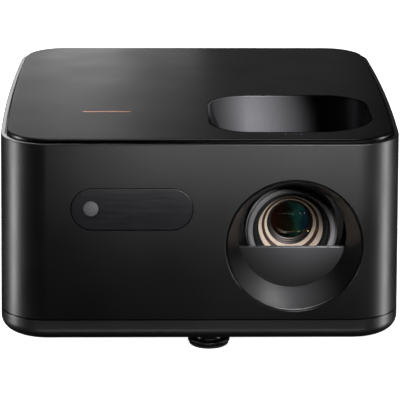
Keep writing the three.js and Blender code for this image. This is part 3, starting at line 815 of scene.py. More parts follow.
class Palette:
    """The finish of each material slot in the record."""

    lens_axis: Corner = (48.5, 0.0, 60.5)

    SHELL = MouldedPlastic("Spark-grained black ABS", "#0a0a0b", 0.36, edge_colour="#161618")
    PLATE = SatinPaint("Satin-lacquered polycarbonate", "#0a0a0b", 0.3)
    INNER = MouldedPlastic("Matt black ABS", "#0a0a0b", 0.36, grain=0.4, depth=0.01, edge_colour="#1a1a1c")
    WELL = SatinPaint("Pearl-lacquered ABS of the finger well", "#58585b", 0.36, 0.8)
    CONE = MouldedPlastic("Satin black ABS of the lens well", "#111112", 0.38, grain=0.35, depth=0.006)
    WINDOW = Acrylic("Infra-red-passing acrylic", "#1a1a1d", 0.22)
    SENSOR = Acrylic("Frosted grey acrylic", "#5c5c5f", 0.4)
    RUBBER = Rubber("Black moulded rubber", "#131314", 0.8)
    GLASS = CoatedGlass("Multi-coated optical glass", "#fffaf6", 0.0)
    BLACK_METAL = TurnedMetal("Black anodised aluminium", "#4a4a4c", 0.38, 1.0, centre=lens_axis)
    BARREL = TurnedMetal("Satin anodised lens barrel", "#727274", 0.45, 0.3, centre=lens_axis)
    SILVER_RING = TurnedMetal("Silvered lens edge", "#dcd6cd", 0.42, centre=lens_axis, ring=0.8)
    BROWN_LACQUER = TurnedMetal("Brown edge lacquer", "#2c1a12", 0.5, centre=lens_axis)
    BARE = DrawnMetal("Extruded aluminium", "#c4c6c8", 0.35, 1.0, tarnish="#8d9094")
    COPPER = DrawnMetal("Drawn copper", "#c07a52", 0.32, 1.0, tarnish="#6b4632")
    BRASS = DrawnMetal("Turned brass", "#c2a35c", 0.32, 1.0, tarnish="#7c6a3c")
    STEEL = DrawnMetal("Zinc-plated steel", "#a7aaae", 0.34, 1.0, tarnish="#7f8286")
    BOARD = CircuitBoard("Solder-masked glass-fibre board", "#174029", 0.42)
    ENGINE = CastMetal("Die-cast magnesium", "#8a8c8f", 0.55, 0.9)

    BY_SLOT: dict[str, Finish] = {
        "shell_abs": SHELL,
        "plate_satin": PLATE,
        "inner_plastic": INNER,
        "window_acrylic": WINDOW,
        "sensor_grey": SENSOR,
        "foot_rubber": RUBBER,
        "optical_glass": GLASS,
        "anodised_black": BLACK_METAL,
        "bare_aluminium": BARE,
        "pipe_copper": COPPER,
        "brass": BRASS,
        "zinc_steel": STEEL,
        "circuit_board": BOARD,
        "engine_casting": ENGINE,
    }


def slot_of(name: str) -> str:
    """The record's material slot of a CAD node.

    Args:
        name: The node's name.
    Returns:
        The slot's name.
    """
    subparts = frame["record"]["subparts"]
    return next(part["material_slot"] for part in subparts if part["node"] == name)


def body_of_node(name: str) -> str:
    """The body that a CAD node belongs to.

    Args:
        name: The node's name.
    Returns:
        The body's name.
    """
    bodies = frame["record"]["behaviour"]["bodies"]
    return next(body for body, nodes in bodies.items() if name in nodes)


def settle(piece: bpy.types.Object, node_name: str, *finishes: Finish) -> bpy.types.Object:
    """Puts a finished piece in a CAD node's place.

    Args:
        piece: The piece, which rides where the node did and hides it.
        node_name: The node that it stands for.
        finishes: Its finishes by material index, or none for the finish of the node's slot.
    Returns:
        The piece.
    """
    slot = slot_of(node_name)
    for finish in finishes or [Palette.BY_SLOT[slot]]:
        piece.data.materials.append(material_of(finish))
    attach(piece, body_of_node(node_name))
    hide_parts(node_name)
    LOG.info("%s stands for %s", piece.name, node_name)
    return piece


# ---- casing ----


@dataclass(frozen=True)
class Plan:
    """The case's outline from above: straight front and back, bowed and drafted sides, round corners."""

    width: float
    depth: float
    rim_z: float
    bow: float = 3.0
    draft: float = 0.0199
    corner: float = 24.6
    corner_steps: int = 16
    side_steps: int = 18

    @classmethod
    def from_band(cls, band: Extent) -> "Plan":
        """The outline of the shell band's box.

        Args:
            band: The band's box.
        Returns:
            The plan at its rim.
        """
        return cls(band.size.x - 2 * cls.draft * band.size.z, band.size.y, band.high.z)

    def slab(self, drawn_in: float, low: float, high: float) -> bmesh.types.BMesh:
        """A block of the plan, before its sides are bowed and drafted.

        Args:
            drawn_in: How far the outline is drawn in.
            low: The height of its underside.
            high: The height of its top.
        Returns:
            The block's mesh.
        """
        half_x, half_y = self.width / 2 - drawn_in, self.depth / 2 - drawn_in
        upright = (-half_x, -half_y, low), (half_x, half_y, high)
        bm = rounded_block(*upright, self.corner - drawn_in, Axis.Z, self.corner_steps)
        sides = [edge for edge in edges_along(bm, Axis.Y) if edge.calc_length() > self.depth / 2]
        bmesh.ops.subdivide_edges(bm, edges=sides, cuts=self.side_steps, use_grid_fill=True)
        for up in (Axis.Z.vector, -Axis.Z.vector):
            bm.normal_update()
            strips = [face for face in bm.faces if face.normal.dot(up) > FACING]
            bmesh.ops.dissolve_faces(bm, faces=strips, use_verts=False)
        return bm

    def bend(self, bm: bmesh.types.BMesh) -> None:
        """Bows the sides and leans them out on their way down.

        Args:
            bm: A mesh built on the straight plan.
        """
        half = self.width / 2
        for vert in bm.verts:
            bow = 4 * self.bow * (vert.co.y / self.depth) ** 2 / half
            lean = self.draft * (self.rim_z - vert.co.z) / half
            vert.co.x *= (1 - bow) * (1 + lean)

    def front(self, x: float) -> float:
        """Where the front lies, which curves back at the corners.

        Args:
            x: How far to the side.
        Returns:
            The front's y.
        """
        start = (self.width / 2 - self.corner) * (1 - 2 * self.bow / self.width)
        past = min(max(abs(x) - start, 0.0), self.corner)
        return -self.depth / 2 + self.corner - math.sqrt(self.corner**2 - past**2)


@dataclass
class Casing:
    """The shell band, the raised top plate with its finger well, and the base tray."""

    plan: Plan
    wall: float = 2.2
    rim_edge: float = 0.7
    ledge_top: float = 113.6
    ledge_bottom: float = 108.0
    ledge_reach: float = 4.4
    plate_inset: float = 3.0
    plate_edge: float = 0.95
    mark_height: float = 0.04
    tray_fillet: float = 7.0
    tray_floor: float = 2.4
    well_radius: float = 21.0
    well_wide_radius: float = 30.0
    well_wall: float = 1.2
    well_floor: float = 2.0
    well_fillet: float = 3.0
    well_lip: float = 0.25
    ring_slot_reach: float = 18.6
    foot_bore: float = 7.3
    thread_bore: float = 6.3
    screw_bore: float = 3.4
    intake_slots: int = 6
    intake_x: float = 70.0
    intake_y: Point = (-8.0, 36.0)
    past: float = 5.0  # how far a cutter stands out of what it cuts
    gap: float = 0.3
    slot_width: float = 3.0
    slot_pitch: float = 8.5
    side_slots: int = 12
    side_slot_y: float = -12.0
    side_slot_z: Point = (40.0, 88.0)
    back_slots: int = 13
    back_slot_z: Point = (82.0, 102.0)
    hole_chamfer: float = 0.35

    def build(self) -> None:
        """Builds and dresses the four shells."""
        self.build_band()
        self.build_plate()
        self.build_liner()
        self.build_tray()

    def build_band(self) -> None:
        """The band: rounded rim, ledge under the plate, and its holes and air slots."""
        box = Extent.of("shell_band")
        bm = self.plan.slab(0.0, box.low.z, box.high.z)
        up, down = Axis.Z.vector, -Axis.Z.vector
        round_edges(bm, end_face(bm, up).edges, self.rim_edge, 4)
        top = end_face(bm, up)
        inset(bm, top, self.wall - self.rim_edge)
        top = push(bm, top, (0, 0, self.ledge_top - box.high.z))
        inset(bm, top, self.ledge_reach)
        top = push(bm, top, (0, 0, self.ledge_bottom - self.ledge_top))
        bottom = end_face(bm, down)
        inset(bm, bottom, self.wall)
        bottom = push(bm, bottom, (0, 0, self.ledge_bottom - box.low.z))
        rims = list(top.edges) + list(bottom.edges)
        bmesh.ops.delete(bm, geom=[top, bottom], context="FACES_ONLY")
        bmesh.ops.bridge_loops(bm, edges=rims)
        self.plan.bend(bm)
        bmesh.ops.recalc_face_normals(bm, faces=bm.faces)
        band = store("case_band", bm)
        carve(band, self.lens_hole(), self.window_hole(), self.panel_hole(), gather(self.air_slots()))
        shade(band)
        settle(band, "shell_band")

    def lens_hole(self) -> bmesh.types.BMesh:
        """The round hole for the lens well, with a fine chamfer at the front face."""
        cone = Extent.of("lens_cone")
        centre = Extent.of("focus_ring").hub(Axis.Y)
        radius = (cone.high.z - cone.low.z) / 2 - LensWell.flange_reach + LensWell.gap
        face = -self.plan.depth / 2
        profile = [
            (0.0, face - self.past),
            (radius + self.hole_chamfer, face - self.past),
            (radius + self.hole_chamfer, face - 0.05),
            (radius, face + self.hole_chamfer),
            (radius, face + 6),
            (0.0, face + 6),
        ]
        return revolve(profile, centre, Axis.Y, 128)

    def window_hole(self) -> bmesh.types.BMesh:
        """The hole for the sensor window."""
        pane = Extent.of("sensor_window")
        reach = SensorWindow.flange_reach
        low = (pane.low.x + reach, -self.plan.depth / 2 - self.past, pane.low.z + reach)
        high = (pane.high.x - reach, -self.plan.depth / 2 + self.past, pane.high.z - reach)
        return rounded_block(low, high, (high[2] - low[2]) / 2 - TINY, Axis.Y, 20)

    def panel_hole(self) -> bmesh.types.BMesh:
        """The hole for the panel of sockets at the back."""
        panel = Extent.of("port_panel")
        low = (panel.low.x - self.gap, self.plan.depth / 2 - self.past, panel.low.z - self.gap)
        high = (panel.high.x + self.gap, self.plan.depth / 2 + self.past, panel.high.z + self.gap)
        return rounded_block(low, high, RearPanel.corner + self.gap, Axis.Y)

    def air_slots(self) -> list[bmesh.types.BMesh]:
        """The round-ended air slots of both sides and the back."""
        half, radius = self.slot_width / 2, self.slot_width / 2 - TINY
        outer, inner = self.plan.width, self.plan.width / 2 - 12
        slots = []
        for i in range(self.side_slots):
            y = self.side_slot_y + i * self.slot_pitch
            for x0, x1 in ((-outer, -inner), (inner, outer)):
                low = (x0, y - half, self.side_slot_z[0])
                high = (x1, y + half, self.side_slot_z[1])
                slots.append(rounded_block(low, high, radius, Axis.X, 6))
        back = self.plan.depth / 2
        for i in range(self.back_slots):
            x = (i - (self.back_slots - 1) / 2) * self.slot_pitch
            low = (x - half, back - 6, self.back_slot_z[0])
            high = (x + half, back + 6, self.back_slot_z[1])
            slots.append(rounded_block(low, high, radius, Axis.Y, 6))
        return slots

    def build_plate(self) -> None:
        """The raised plate, with the hole that its well's liner fills."""
        box, liner = Extent.of("top_plate"), Extent.of("well_liner")
        bm = self.plan.slab(self.plate_inset, box.low.z, box.high.z - self.mark_height)
        round_edges(bm, end_face(bm, Axis.Z.vector).edges, self.plate_edge, 4)
        self.plan.bend(bm)
        plate = store("raised_top_plate", bm)
        low = (liner.low.x - self.gap, liner.low.y - self.gap, box.low.z - self.past)
        high = (liner.high.x + self.gap, liner.high.y + self.gap, box.high.z + self.past)
        grow = self.well_wall + self.gap
        hole = rounded_block(low, high, self.well_radius + grow, Axis.Z, 16, self.well_wide_radius + grow)
        carve(plate, hole)
        shade(plate)
        settle(plate, "top_plate")

    def build_liner(self) -> None:
        """The finger well: a round-cornered cup, slotted where the focus ring stands through its floor."""
        box, ring = Extent.of("well_liner"), Extent.of("focus_ring")
        radius, wide = self.well_radius + self.well_wall, self.well_wide_radius + self.well_wall
        bm = rounded_block(tuple(box.low), tuple(box.high), radius, Axis.Z, 16, wide)
        top = end_face(bm, Axis.Z.vector)
        inset(bm, top, self.well_wall)
        lip = [edge for edge in bm.edges if min(v.co.z for v in edge.verts) > box.high.z - TINY]
        base = push(bm, top, (0, 0, box.low.z + self.well_floor - box.high.z))
        round_edges(bm, base.edges, self.well_fillet, 5)
        outer = [edge for edge in lip if edge.is_valid and edge.calc_face_angle(0) > 1]
        round_edges(bm, outer, self.well_lip, 2)
        bmesh.ops.recalc_face_normals(bm, faces=bm.faces)
        liner = store("finger_well", bm)
        reach = self.ring_slot_reach
        low = (ring.centre.x - reach, ring.low.y - 1, box.low.z - self.past)
        high = (ring.centre.x + reach, ring.high.y + 1, box.low.z + self.well_floor + 4)
        carve(liner, rounded_block(low, high, 2.0, Axis.Z, 5))
        shade(liner)
        settle(liner, "well_liner", Palette.WELL)

    def build_tray(self) -> None:
        """The base tray: a deep fillet all round, intake slots and bores."""
        box = Extent.of("base_tray")
        top_z = Extent.of("shell_band").low.z - 2 * self.gap
        bm = self.plan.slab(0.0, box.low.z, top_z)
        round_edges(bm, end_face(bm, -Axis.Z.vector).edges, self.tray_fillet, 8)
        top = end_face(bm, Axis.Z.vector)
        inset(bm, top, self.wall)
        floor = push(bm, top, (0, 0, box.low.z + self.tray_floor - top_z))
        round_edges(bm, floor.edges, self.tray_fillet - self.wall, 5)
        self.plan.bend(bm)
        bmesh.ops.recalc_face_normals(bm, faces=bm.faces)
        tray = store("base_tray_shell", bm)
        carve(tray, gather(self.tray_bores(box)))
        shade(tray)
        settle(tray, "base_tray")

    def tray_bores(self, box: Extent) -> list[bmesh.types.BMesh]:
        """The tray's bores and intake slots.

        Args:
            box: The tray's box.
        Returns:
            What is cut away.
        """
        low, high = box.low.z - 1, box.low.z + self.tray_floor + 1
        rounds = [("foot_screw", self.foot_bore, 48), ("tripod_insert", self.thread_bore, 48)]
        rounds += [(name, self.screw_bore, 32) for name in BaseFixings.screws]
        bores = []
        for name, radius, steps in rounds:
            profile = [(0, low), (radius, low), (radius, high), (0, high)]
            bores.append(revolve(profile, Extent.of(name).hub(Axis.Z), Axis.Z, steps))
        half, (front, back) = self.slot_width / 2, self.intake_y
        for i in range(self.intake_slots):
            for x in (-self.intake_x + i * self.slot_pitch, self.intake_x - i * self.slot_pitch):
                ends = (x - half, front, low), (x + half, back, high)
                bores.append(rounded_block(*ends, half - TINY, Axis.Z, 6))
        return bores


@dataclass
class PlateMarks:
    """Plain marks in place of lettering: a short copper bar and a row of tiny dots before the well."""

    bar: tuple[Point, Point] = ((-62.0, -50.6), (-36.0, -49.4))
    dots: tuple[float, ...] = (35.0, 43.5, 49.0, 51.8)
    dot_y: float = -96.5
    dot_radius: float = 0.45
    height: float = Casing.mark_height

    def build(self) -> None:
        """Builds the bar and the dots, level with the highest point of the plate's box."""
        top = Extent.of("top_plate").high.z
        (x0, y0), (x1, y1) = self.bar
        sunk = top - 2 * self.height
        ends = (x0, y0, sunk), (x1, y1, top)
        bar = store("copper_bar", rounded_block(*ends, (y1 - y0) / 2 - TINY, Axis.Z, 6))
        profile = [(0, sunk), (self.dot_radius, sunk), (self.dot_radius, top), (0, top)]
        dots = gather(revolve(profile, Vector((x, self.dot_y, 0)), Axis.Z, 16) for x in self.dots)
        for piece, slot in ((bar, "pipe_copper"), (store("marker_dots", dots), "sensor_grey")):
            shade(piece)
            piece.data.materials.append(material_of(Palette.BY_SLOT[slot]))
            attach(piece, CHASSIS)
            LOG.info("%s lies on the top plate", piece.name)


# ---- lens well and sensor window ----


@dataclass
class LensWell:
    """The round well that leads in to the lens, and the half-moon that closes its lower part."""

    flange_reach: float = 3.6
    gap: float = 0.3
    mouth: float = 34.5
    throat: float = 28.2
    wall: float = 1.5
    set_back: float = 0.3
    lip_round: float = 0.35

    def build(self, plan: Plan) -> None:
        """Builds the well's cone and its half-moon ledge.

        Args:
            plan: The case's outline, which the cone's lip follows.
        """
        self.build_cone(plan)
        self.build_ledge()

    def bore_at(self, depth: float) -> float:
        """The cone's radius at a depth.

        Args:
            depth: Its share of the way from the mouth back to the throat.
        Returns:
            The radius.
        """
        return self.mouth + (self.throat - self.mouth) * depth

    def build_cone(self, plan: Plan) -> None:
        """The cone, whose lip stands in the hole just behind the front face.

        Args:
            plan: The case's outline.
        """
        box, ring = Extent.of("lens_cone"), Extent.of("focus_ring")
        lip = box.size.z / 2 - self.flange_reach
        face = -plan.depth / 2 + self.set_back
        throat_y = box.high.y
        flange_y = -plan.depth / 2 + Casing.wall + self.gap
        flange_back = flange_y + self.wall
        length = throat_y - face
        edge = self.lip_round
        profile = [
            (lip - 0.12, face),
            (lip, face + 0.12),
            (lip, flange_y),
            (lip + 1.6, flange_y),
            (lip + 1.6, flange_back),
            (self.bore_at((flange_back - face) / length) + self.wall, flange_back),
            (self.throat + self.wall, throat_y),
            (self.throat + 0.2, throat_y),
            (self.throat, throat_y - 0.2),
            (self.bore_at(2 * edge / length), face + 2 * edge),
            (self.bore_at(edge / length) + 0.08, face + edge),
            (self.mouth + 0.3, face),
        ]
        bm = revolve(profile, ring.hub(Axis.Y), Axis.Y, 128)
        for vert in bm.verts:
            depth = Casing.wall + self.gap if vert.co.y >= flange_y - TINY else self.set_back
            vert.co.y = max(vert.co.y, plan.front(vert.co.x) + depth)
        cone = store("lens_well_cone", bm)
        shade(cone, math.radians(38))
        settle(cone, "lens_cone", Palette.CONE)

    def build_ledge(self) -> None:
        """The half-moon: a disc cut level across its top, with softened edges."""
        box, ring = Extent.of("lens_ledge"), Extent.of("focus_ring")
        bm = bmesh.new()
        radius = box.size.x / 2
        bmesh.ops.create_circle(bm, cap_ends=True, cap_tris=False, segments=128, radius=radius)
        bmesh.ops.rotate(bm, matrix=Matrix.Rotation(math.pi / 2, 3, "X"), verts=bm.verts)
        bmesh.ops.translate(bm, vec=(ring.centre.x, box.high.y, ring.centre.z), verts=bm.verts)
        everything = bm.verts[:] + bm.edges[:] + bm.faces[:]
        bmesh.ops.bisect_plane(
            bm, geom=everything, plane_co=(0, 0, box.high.z), plane_no=(0, 0, 1), clear_outer=True
        )
        push(bm, bm.faces[:][0], (0, box.low.y - box.high.y, 0))
        rim = [edge for edge in bm.edges if edge.is_boundary]
        bmesh.ops.holes_fill(bm, edges=rim, sides=0)
        bmesh.ops.recalc_face_normals(bm, faces=bm.faces)
        front = end_face(bm, -Axis.Y.vector)
        round_edges(bm, front.edges, 0.3, 3)
        ledge = store("half_moon_ledge", bm)
        shade(ledge)
        settle(ledge, "lens_ledge", Palette.CONE)


@dataclass
class SensorWindow:
    """The dark window beside the lens, and the frosted cover of its sensor."""

    flange_reach: float = 1.5
    seam: float = 0.25
    edge: float = 0.4

    def build(self) -> None:
        """Builds the pane with its flange, and the sensor's cover."""
        box, cover = Extent.of("sensor_window"), Extent.of("sensor_cover")
        reach = self.flange_reach + self.seam
        pane_back = box.high.y - 1.1
        low = (box.low.x + reach, box.low.y, box.low.z + reach)
        high = (box.high.x - reach, pane_back, box.high.z - reach)
        bm = rounded_block(low, high, (high[2] - low[2]) / 2 - TINY, Axis.Y, 20)
        round_edges(bm, end_face(bm, -Axis.Y.vector).edges, self.edge, 4)
        flange = push(bm, end_face(bm, Axis.Y.vector), (0, 0.01, 0))
        grow = Vector((box.size.x / (high[0] - low[0]), 1.0, box.size.z / (high[2] - low[2])))
        centre = box.centre
        for vert in flange.verts:
            vert.co.x = centre.x + (vert.co.x - centre.x) * grow.x
            vert.co.z = centre.z + (vert.co.z - centre.z) * grow.z
        push(bm, flange, (0, box.high.y - pane_back - 0.01, 0))
        bmesh.ops.recalc_face_normals(bm, faces=bm.faces)
        pane = store("sensor_pane", bm)
        radius = cover.size.x / 2
        middle = cover.hub(Axis.Y)
        front, back = box.low.y - 5, box.high.y + 5
        bore = [(0, front), (radius + 0.2, front), (radius + 0.2, back), (0, back)]
        carve(pane, revolve(bore, middle, Axis.Y, 48))
        shade(pane)
        settle(pane, "sensor_window")
        face = cover.low.y
        dome = [
            (0.0, face),
            (radius * 0.5, face + 0.05),
            (radius - 0.5, face + 0.22),
            (radius - 0.1, face + 0.45),
            (radius, face + 0.8),
            (radius, cover.high.y),
            (0.0, cover.high.y),
        ]
        lid = store("sensor_dome", revolve(dome, middle, Axis.Y, 48))
        shade(lid)
        settle(lid, "sensor_cover")


# ---- lens ----


@dataclass
class Lens:
    """The focusing cell with its stepped rings and glass, and the ridged ring that turns it."""

    glass_depth: float = 7.0  # from the cell's mouth back to the front glass's edge
    barrel_wall: float = 3.7
    ridges: int = 36
    ridge_depth: float = 0.9
    ring_bore: float = 28.3

    def __post_init__(self) -> None:
        """Finds the lens's axis."""
        self.centre = Extent.of("focus_ring").hub(Axis.Y)

    def turned(
        self, name: str, profile: Sequence[Point], steps: int = 128, limit: float = SHARP
    ) -> bpy.types.Object:
        """A piece turned about the lens's axis.

        Args:
            name: Its name.
            profile: Its radius and y, point by point.
            steps: How many faces go round.
            limit: The angle past which an edge stays sharp.
        Returns:
            The piece.
        """
        made = store(name, revolve(profile, self.centre, Axis.Y, steps))
        shade(made, limit)
        return made

    def build(self) -> None:
        """Builds the cell, its rings and elements, and the focus ring."""
        self.build_cell()
        self.build_front_glass()
        self.build_rings()
        self.build_pupil()
        self.build_focus_ring()

    def build_cell(self) -> None:
        """The cell: a rounded front ring, fine steps inside its mouth, and a plain body behind."""
        box, element = Extent.of("focus_cell"), Extent.of("front_lens")
        radius, front, back = box.size.x / 2, box.low.y, box.high.y
        bore = element.size.x / 2 + 0.3
        seat = front + self.glass_depth
        profile = [
            (radius, back),
            (radius, front + 2.2),
            (radius - 0.25, front + 1.9),
            (radius - 0.9, front + 1.9),
            (radius - 0.9, front + 1.0),
            (radius - 1.2, front + 0.35),
            (radius - 1.8, front),
            (radius - 2.6, front),
            (radius - 3.4, front + 0.3),
            (radius - 3.9, front + 0.9),
            (radius - 3.9, front + 1.7),
            (radius - 4.5, front + 1.7),
            (radius - 4.7, front + 1.9),
            (radius - 4.7, front + 2.9),
            (radius - 5.3, front + 2.9),
            (radius - 5.3, front + 4.0),
            (radius - 5.9, front + 4.0),
            (radius - 5.9, front + 5.2),
            (bore + 0.6, front + 5.2),
            (bore + 0.6, seat - 0.6),
            (bore, seat - 0.6),
            (bore, back),
        ]
        cell = self.turned("lens_cell_body", profile, limit=math.radians(40))
        # The steps inside the mouth take the black finish: the cell's own black anodising, kept dark enough
        # to paint the shade that falls into the mouth
        barrel, black_and_shade = range(2)
        for face in cell.data.polygons:
            out = (face.center / MM - self.centre) * Vector((1, 0, 1))
            face.material_index = barrel if out.length > radius - self.barrel_wall else black_and_shade
        settle(cell, "focus_cell", Palette.BARREL, Palette.BLACK_METAL)

    def build_front_glass(self) -> None:
        """The front element: a clear meniscus dome, edge to edge in the cell."""
        box, cell = Extent.of("front_lens"), Extent.of("focus_cell")
        radius = box.size.x / 2 - 0.1
        edge = cell.low.y + self.glass_depth
        rise, hollow, thick = 3.0, 1.8, 1.6
        shares = [i / 14 for i in range(15)]
        outer = [(radius * share, edge - rise * (1 - share**2)) for share in shares]
        inner = [(radius * share, edge + thick - hollow * (1 - share**2)) for share in reversed(shares)]
        glass = self.turned("front_glass", outer + inner, limit=math.radians(50))
        settle(glass, "front_lens")

    def build_rings(self) -> None:
        """The rings seen through the glass: silvered, brown, silvered again, and fine black steps."""
        spacer, cell = Extent.of("lens_spacer"), Extent.of("focus_cell")
        radius = spacer.size.x / 2
        start = cell.low.y + self.glass_depth + 2.0
        profile = [
            (radius, start),
            (radius - 0.3, start),
            (radius - 2.3, start + 3.0),
            (radius - 2.5, start + 4.2),
            (radius - 3.8, start + 4.6),
            (radius - 4.0, start + 4.7),
            (radius - 5.5, start + 7.0),
            (radius - 5.6, start + 8.0),
            (radius - 6.3, start + 8.2),
            (radius - 6.4, start + 9.2),
            (radius - 7.1, start + 9.4),
            (radius - 7.2, start + 10.4),
            (radius - 7.8, start + 10.6),
            (radius - 7.9, start + 12.0),
            (radius - 7.9, start + 12.8),
            (radius, start + 12.8),
        ]
        rings = self.turned("coated_edge_rings", profile)
        silver, brown, black = range(3)
        slices = [(2.9, silver), (4.65, brown), (6.9, silver), (math.inf, black)]
        for face in rings.data.polygons:
            depth = face.center.y / MM - start
            face.material_index = next(index for limit, index in slices if depth < limit)
        settle(rings, "lens_spacer", Palette.SILVER_RING, Palette.BROWN_LACQUER, Palette.BLACK_METAL)

    def build_pupil(self) -> None:
        """The coated element behind the stop, domed towards the front."""
        box, cell = Extent.of("middle_lens"), Extent.of("focus_cell")
        radius = box.size.x / 2
        front = cell.low.y + self.glass_depth + 15.6
        steps = 10
        dome = [(radius * i / steps, front + 2.6 * (i / steps) ** 2) for i in range(steps + 1)]
        profile = dome + [(radius, box.high.y), (0.0, box.high.y)]
        # This finish paints the pupil's coloured reflection and a faint glow
        finish = GlowingReflectionPupil("Inner coated elements", "#0a0c0c", 0.08, centre=tuple(self.centre))
        settle(self.turned("inner_element", profile, 96, math.radians(50)), "middle_lens", finish)

    def build_focus_ring(self) -> None:
        """The focus ring, ridged for a fingertip."""
        box = Extent.of("focus_ring")
        radius, front, back = box.size.x / 2, box.low.y, box.high.y
        profile = [
            (self.ring_bore, back),
            (self.ring_bore, front),
            (radius - 1.6, front),
            (radius - 0.6, front + 0.4),
            (radius, front + 1.2),
            (radius, back - 1.2),
            (radius - 0.6, back - 0.4),
            (radius - 1.6, back),
        ]
        bm = revolve(profile, self.centre, Axis.Y, self.ridges * 4)
        for vert in bm.verts:
            out = (vert.co - self.centre) * Vector((1, 0, 1))
            step = round(math.atan2(out.z, out.x) / (2 * math.pi) * self.ridges * 4) % 4
            if out.length > radius - 0.8 and step >= 2:
                vert.co -= out.normalized() * self.ridge_depth
        ring = store("ridged_focus_ring", bm)
        shade(ring)
        settle(ring, "focus_ring")


# ---- feet and fixings ----


@dataclass
class Feet:
    """The levelling foot at the front and the two rubber feet at the back."""

    ribs: int = 60
    rib_depth: float = 0.35
    thread_pitch: float = 1.5
    thread_depth: float = 0.45

    def build(self) -> None:
        """Builds all the feet."""
        self.build_screw()
        self.build_pad()
        for side in Side:
            self.build_rear(side)

    def build_screw(self) -> None:
        """The foot's screw: a ribbed finger disc, a smooth neck and a threaded stud."""
        box = Extent.of("foot_screw")
        centre = box.hub(Axis.Z)
        disc, neck, stud = box.size.x / 2, 7.0, 4.0
        low, top = box.low.z, box.high.z
        profile = [
            (0.0, low + 1.9),
            (2.8, low + 1.9),
            (2.8, low),
            (disc - 0.9, low),
            (disc - 0.25, low + 0.25),
            (disc, low + 0.7),
            (disc, low + 1.5),
            (disc - 0.25, low + 1.9),
            (disc - 0.9, low + 2.1),
            (neck + 0.9, low + 2.1),
            (neck + 0.25, low + 2.35),
            (neck, low + 3.0),
            (neck, low + 7.2),
            (neck - 0.4, low + 7.7),
            (stud, low + 7.7),
        ]
        height = low + 8.0
        while height < top - self.thread_pitch:
            profile.append((stud, height))
            profile.append((stud - self.thread_depth, height + self.thread_pitch / 2))
            height += self.thread_pitch
        profile += [(stud, height), (stud - 0.8, top), (0.0, top)]
        bm = revolve(profile, centre, Axis.Z, self.ribs * 3)
        for vert in bm.verts:
            out = (vert.co - centre) * Vector((1, 1, 0))
            step = round(math.atan2(out.y, out.x) / (2 * math.pi) * self.ribs * 3) % 3
            if out.length > disc - 0.5 and step == 0:
                vert.co -= out.normalized() * self.rib_depth
        screw = store("levelling_screw", bm)
        shade(screw)
        settle(screw, "foot_screw")

    def build_pad(self) -> None:
        """The rubber pad that the screw turns on, with its peg."""
        box = Extent.of("foot_pad")
        centre = box.hub(Axis.Z)
        radius = box.size.x / 2
        profile = [
            (0.0, 0.3),
            (radius - 3.0, 0.3),
            (radius - 2.6, 0.0),
            (radius - 0.4, 0.0),
            (radius, 0.3),
            (radius, 0.9),
            (radius - 0.3, 1.2),
            (2.5, 1.2),
            (2.5, 2.8),
            (2.2, 3.0),
            (0.0, 3.0),
        ]
        pad = store("rubber_pad", revolve(profile, centre, Axis.Z, 72))
        shade(pad)
        settle(pad, "foot_pad")

    def build_rear(self, side: Side) -> None:
        """One rear foot: a tapered rubber button with a dished underside.

        Args:
            side: Which side it is on.
        """
        name = f"{side.name.lower()}_rear_foot"
        box = Extent.of(name)
        centre = box.hub(Axis.Z)
        radius, top = box.size.x / 2, box.high.z
        profile = [
            (0.0, 0.8),
            (radius - 5.0, 0.7),
            (radius - 3.5, 0.0),
            (radius - 1.5, 0.0),
            (radius - 1.0, 0.5),
            (radius - 0.2, top - 1.0),
            (radius, top - 0.6),
            (radius, top),
            (0.0, top),
        ]
        foot = store(f"{name}_button", revolve(profile, centre, Axis.Z, 72))
        shade(foot)
        settle(foot, name)


@dataclass
class BaseFixings:
    """The tripod thread and the four screws that hold the base tray."""

    screws: tuple[str, ...] = tuple(
        f"{side}_{end}_screw" for side in ("left", "right") for end in ("front", "rear")
    )
    drive_radius: float = 1.3
    drive_depth: float = 1.1
    thread_pitch: float = 1.27

    def build(self) -> None:
        """Builds the thread insert and the screws."""
        self.build_insert()
        for name in self.screws:
            self.build_screw(name)

    def build_insert(self) -> None:
        """The quarter-inch thread's insert: a brass bush with turned threads inside."""
        box = Extent.of("tripod_insert")
        centre = box.hub(Axis.Z)
        outer, bore = box.size.x / 2, 3.2
        low, high = box.low.z, box.high.z
        rim = [(bore + 0.5, low), (outer - 0.4, low), (outer, low + 0.4)]
        profile = [*rim, (outer, high), (bore, high)]
        height = high - self.thread_pitch / 2
        while height > low + self.thread_pitch:
            profile.append((bore + 0.4, height))
            profile.append((bore, height - self.thread_pitch / 2))
            height -= self.thread_pitch
        insert = store("tripod_thread", revolve(profile, centre, Axis.Z, 48))
        shade(insert)
        settle(insert, "tripod_insert")

    def build_screw(self, name: str) -> None:
        """One screw: a domed head with a hexagon socket, and its shank.

        Args:
            name: The screw's node.
        """
        box = Extent.of(name)
        centre = box.hub(Axis.Z)
        head, low, high = box.size.x / 2, box.low.z, box.high.z
        shank = 1.5
        profile = [
            (0.0, low),
            (head - 0.8, low),
            (head - 0.2, low + 0.3),
            (head, low + 0.8),
            (head, low + 2.1),
            (shank, low + 2.1),
            (shank, high - 0.5),
            (shank - 0.5, high),
            (0.0, high),
        ]
        screw = store(f"{name}_body", revolve(profile, centre, Axis.Z, 32))
        drive, deep = self.drive_radius, low + self.drive_depth
        socket = [(0, low - 1), (drive, low - 1), (drive, deep), (0, deep)]
        carve(screw, revolve(socket, centre, Axis.Z, 6))
        shade(screw)
        settle(screw, name)


# ---- back ----


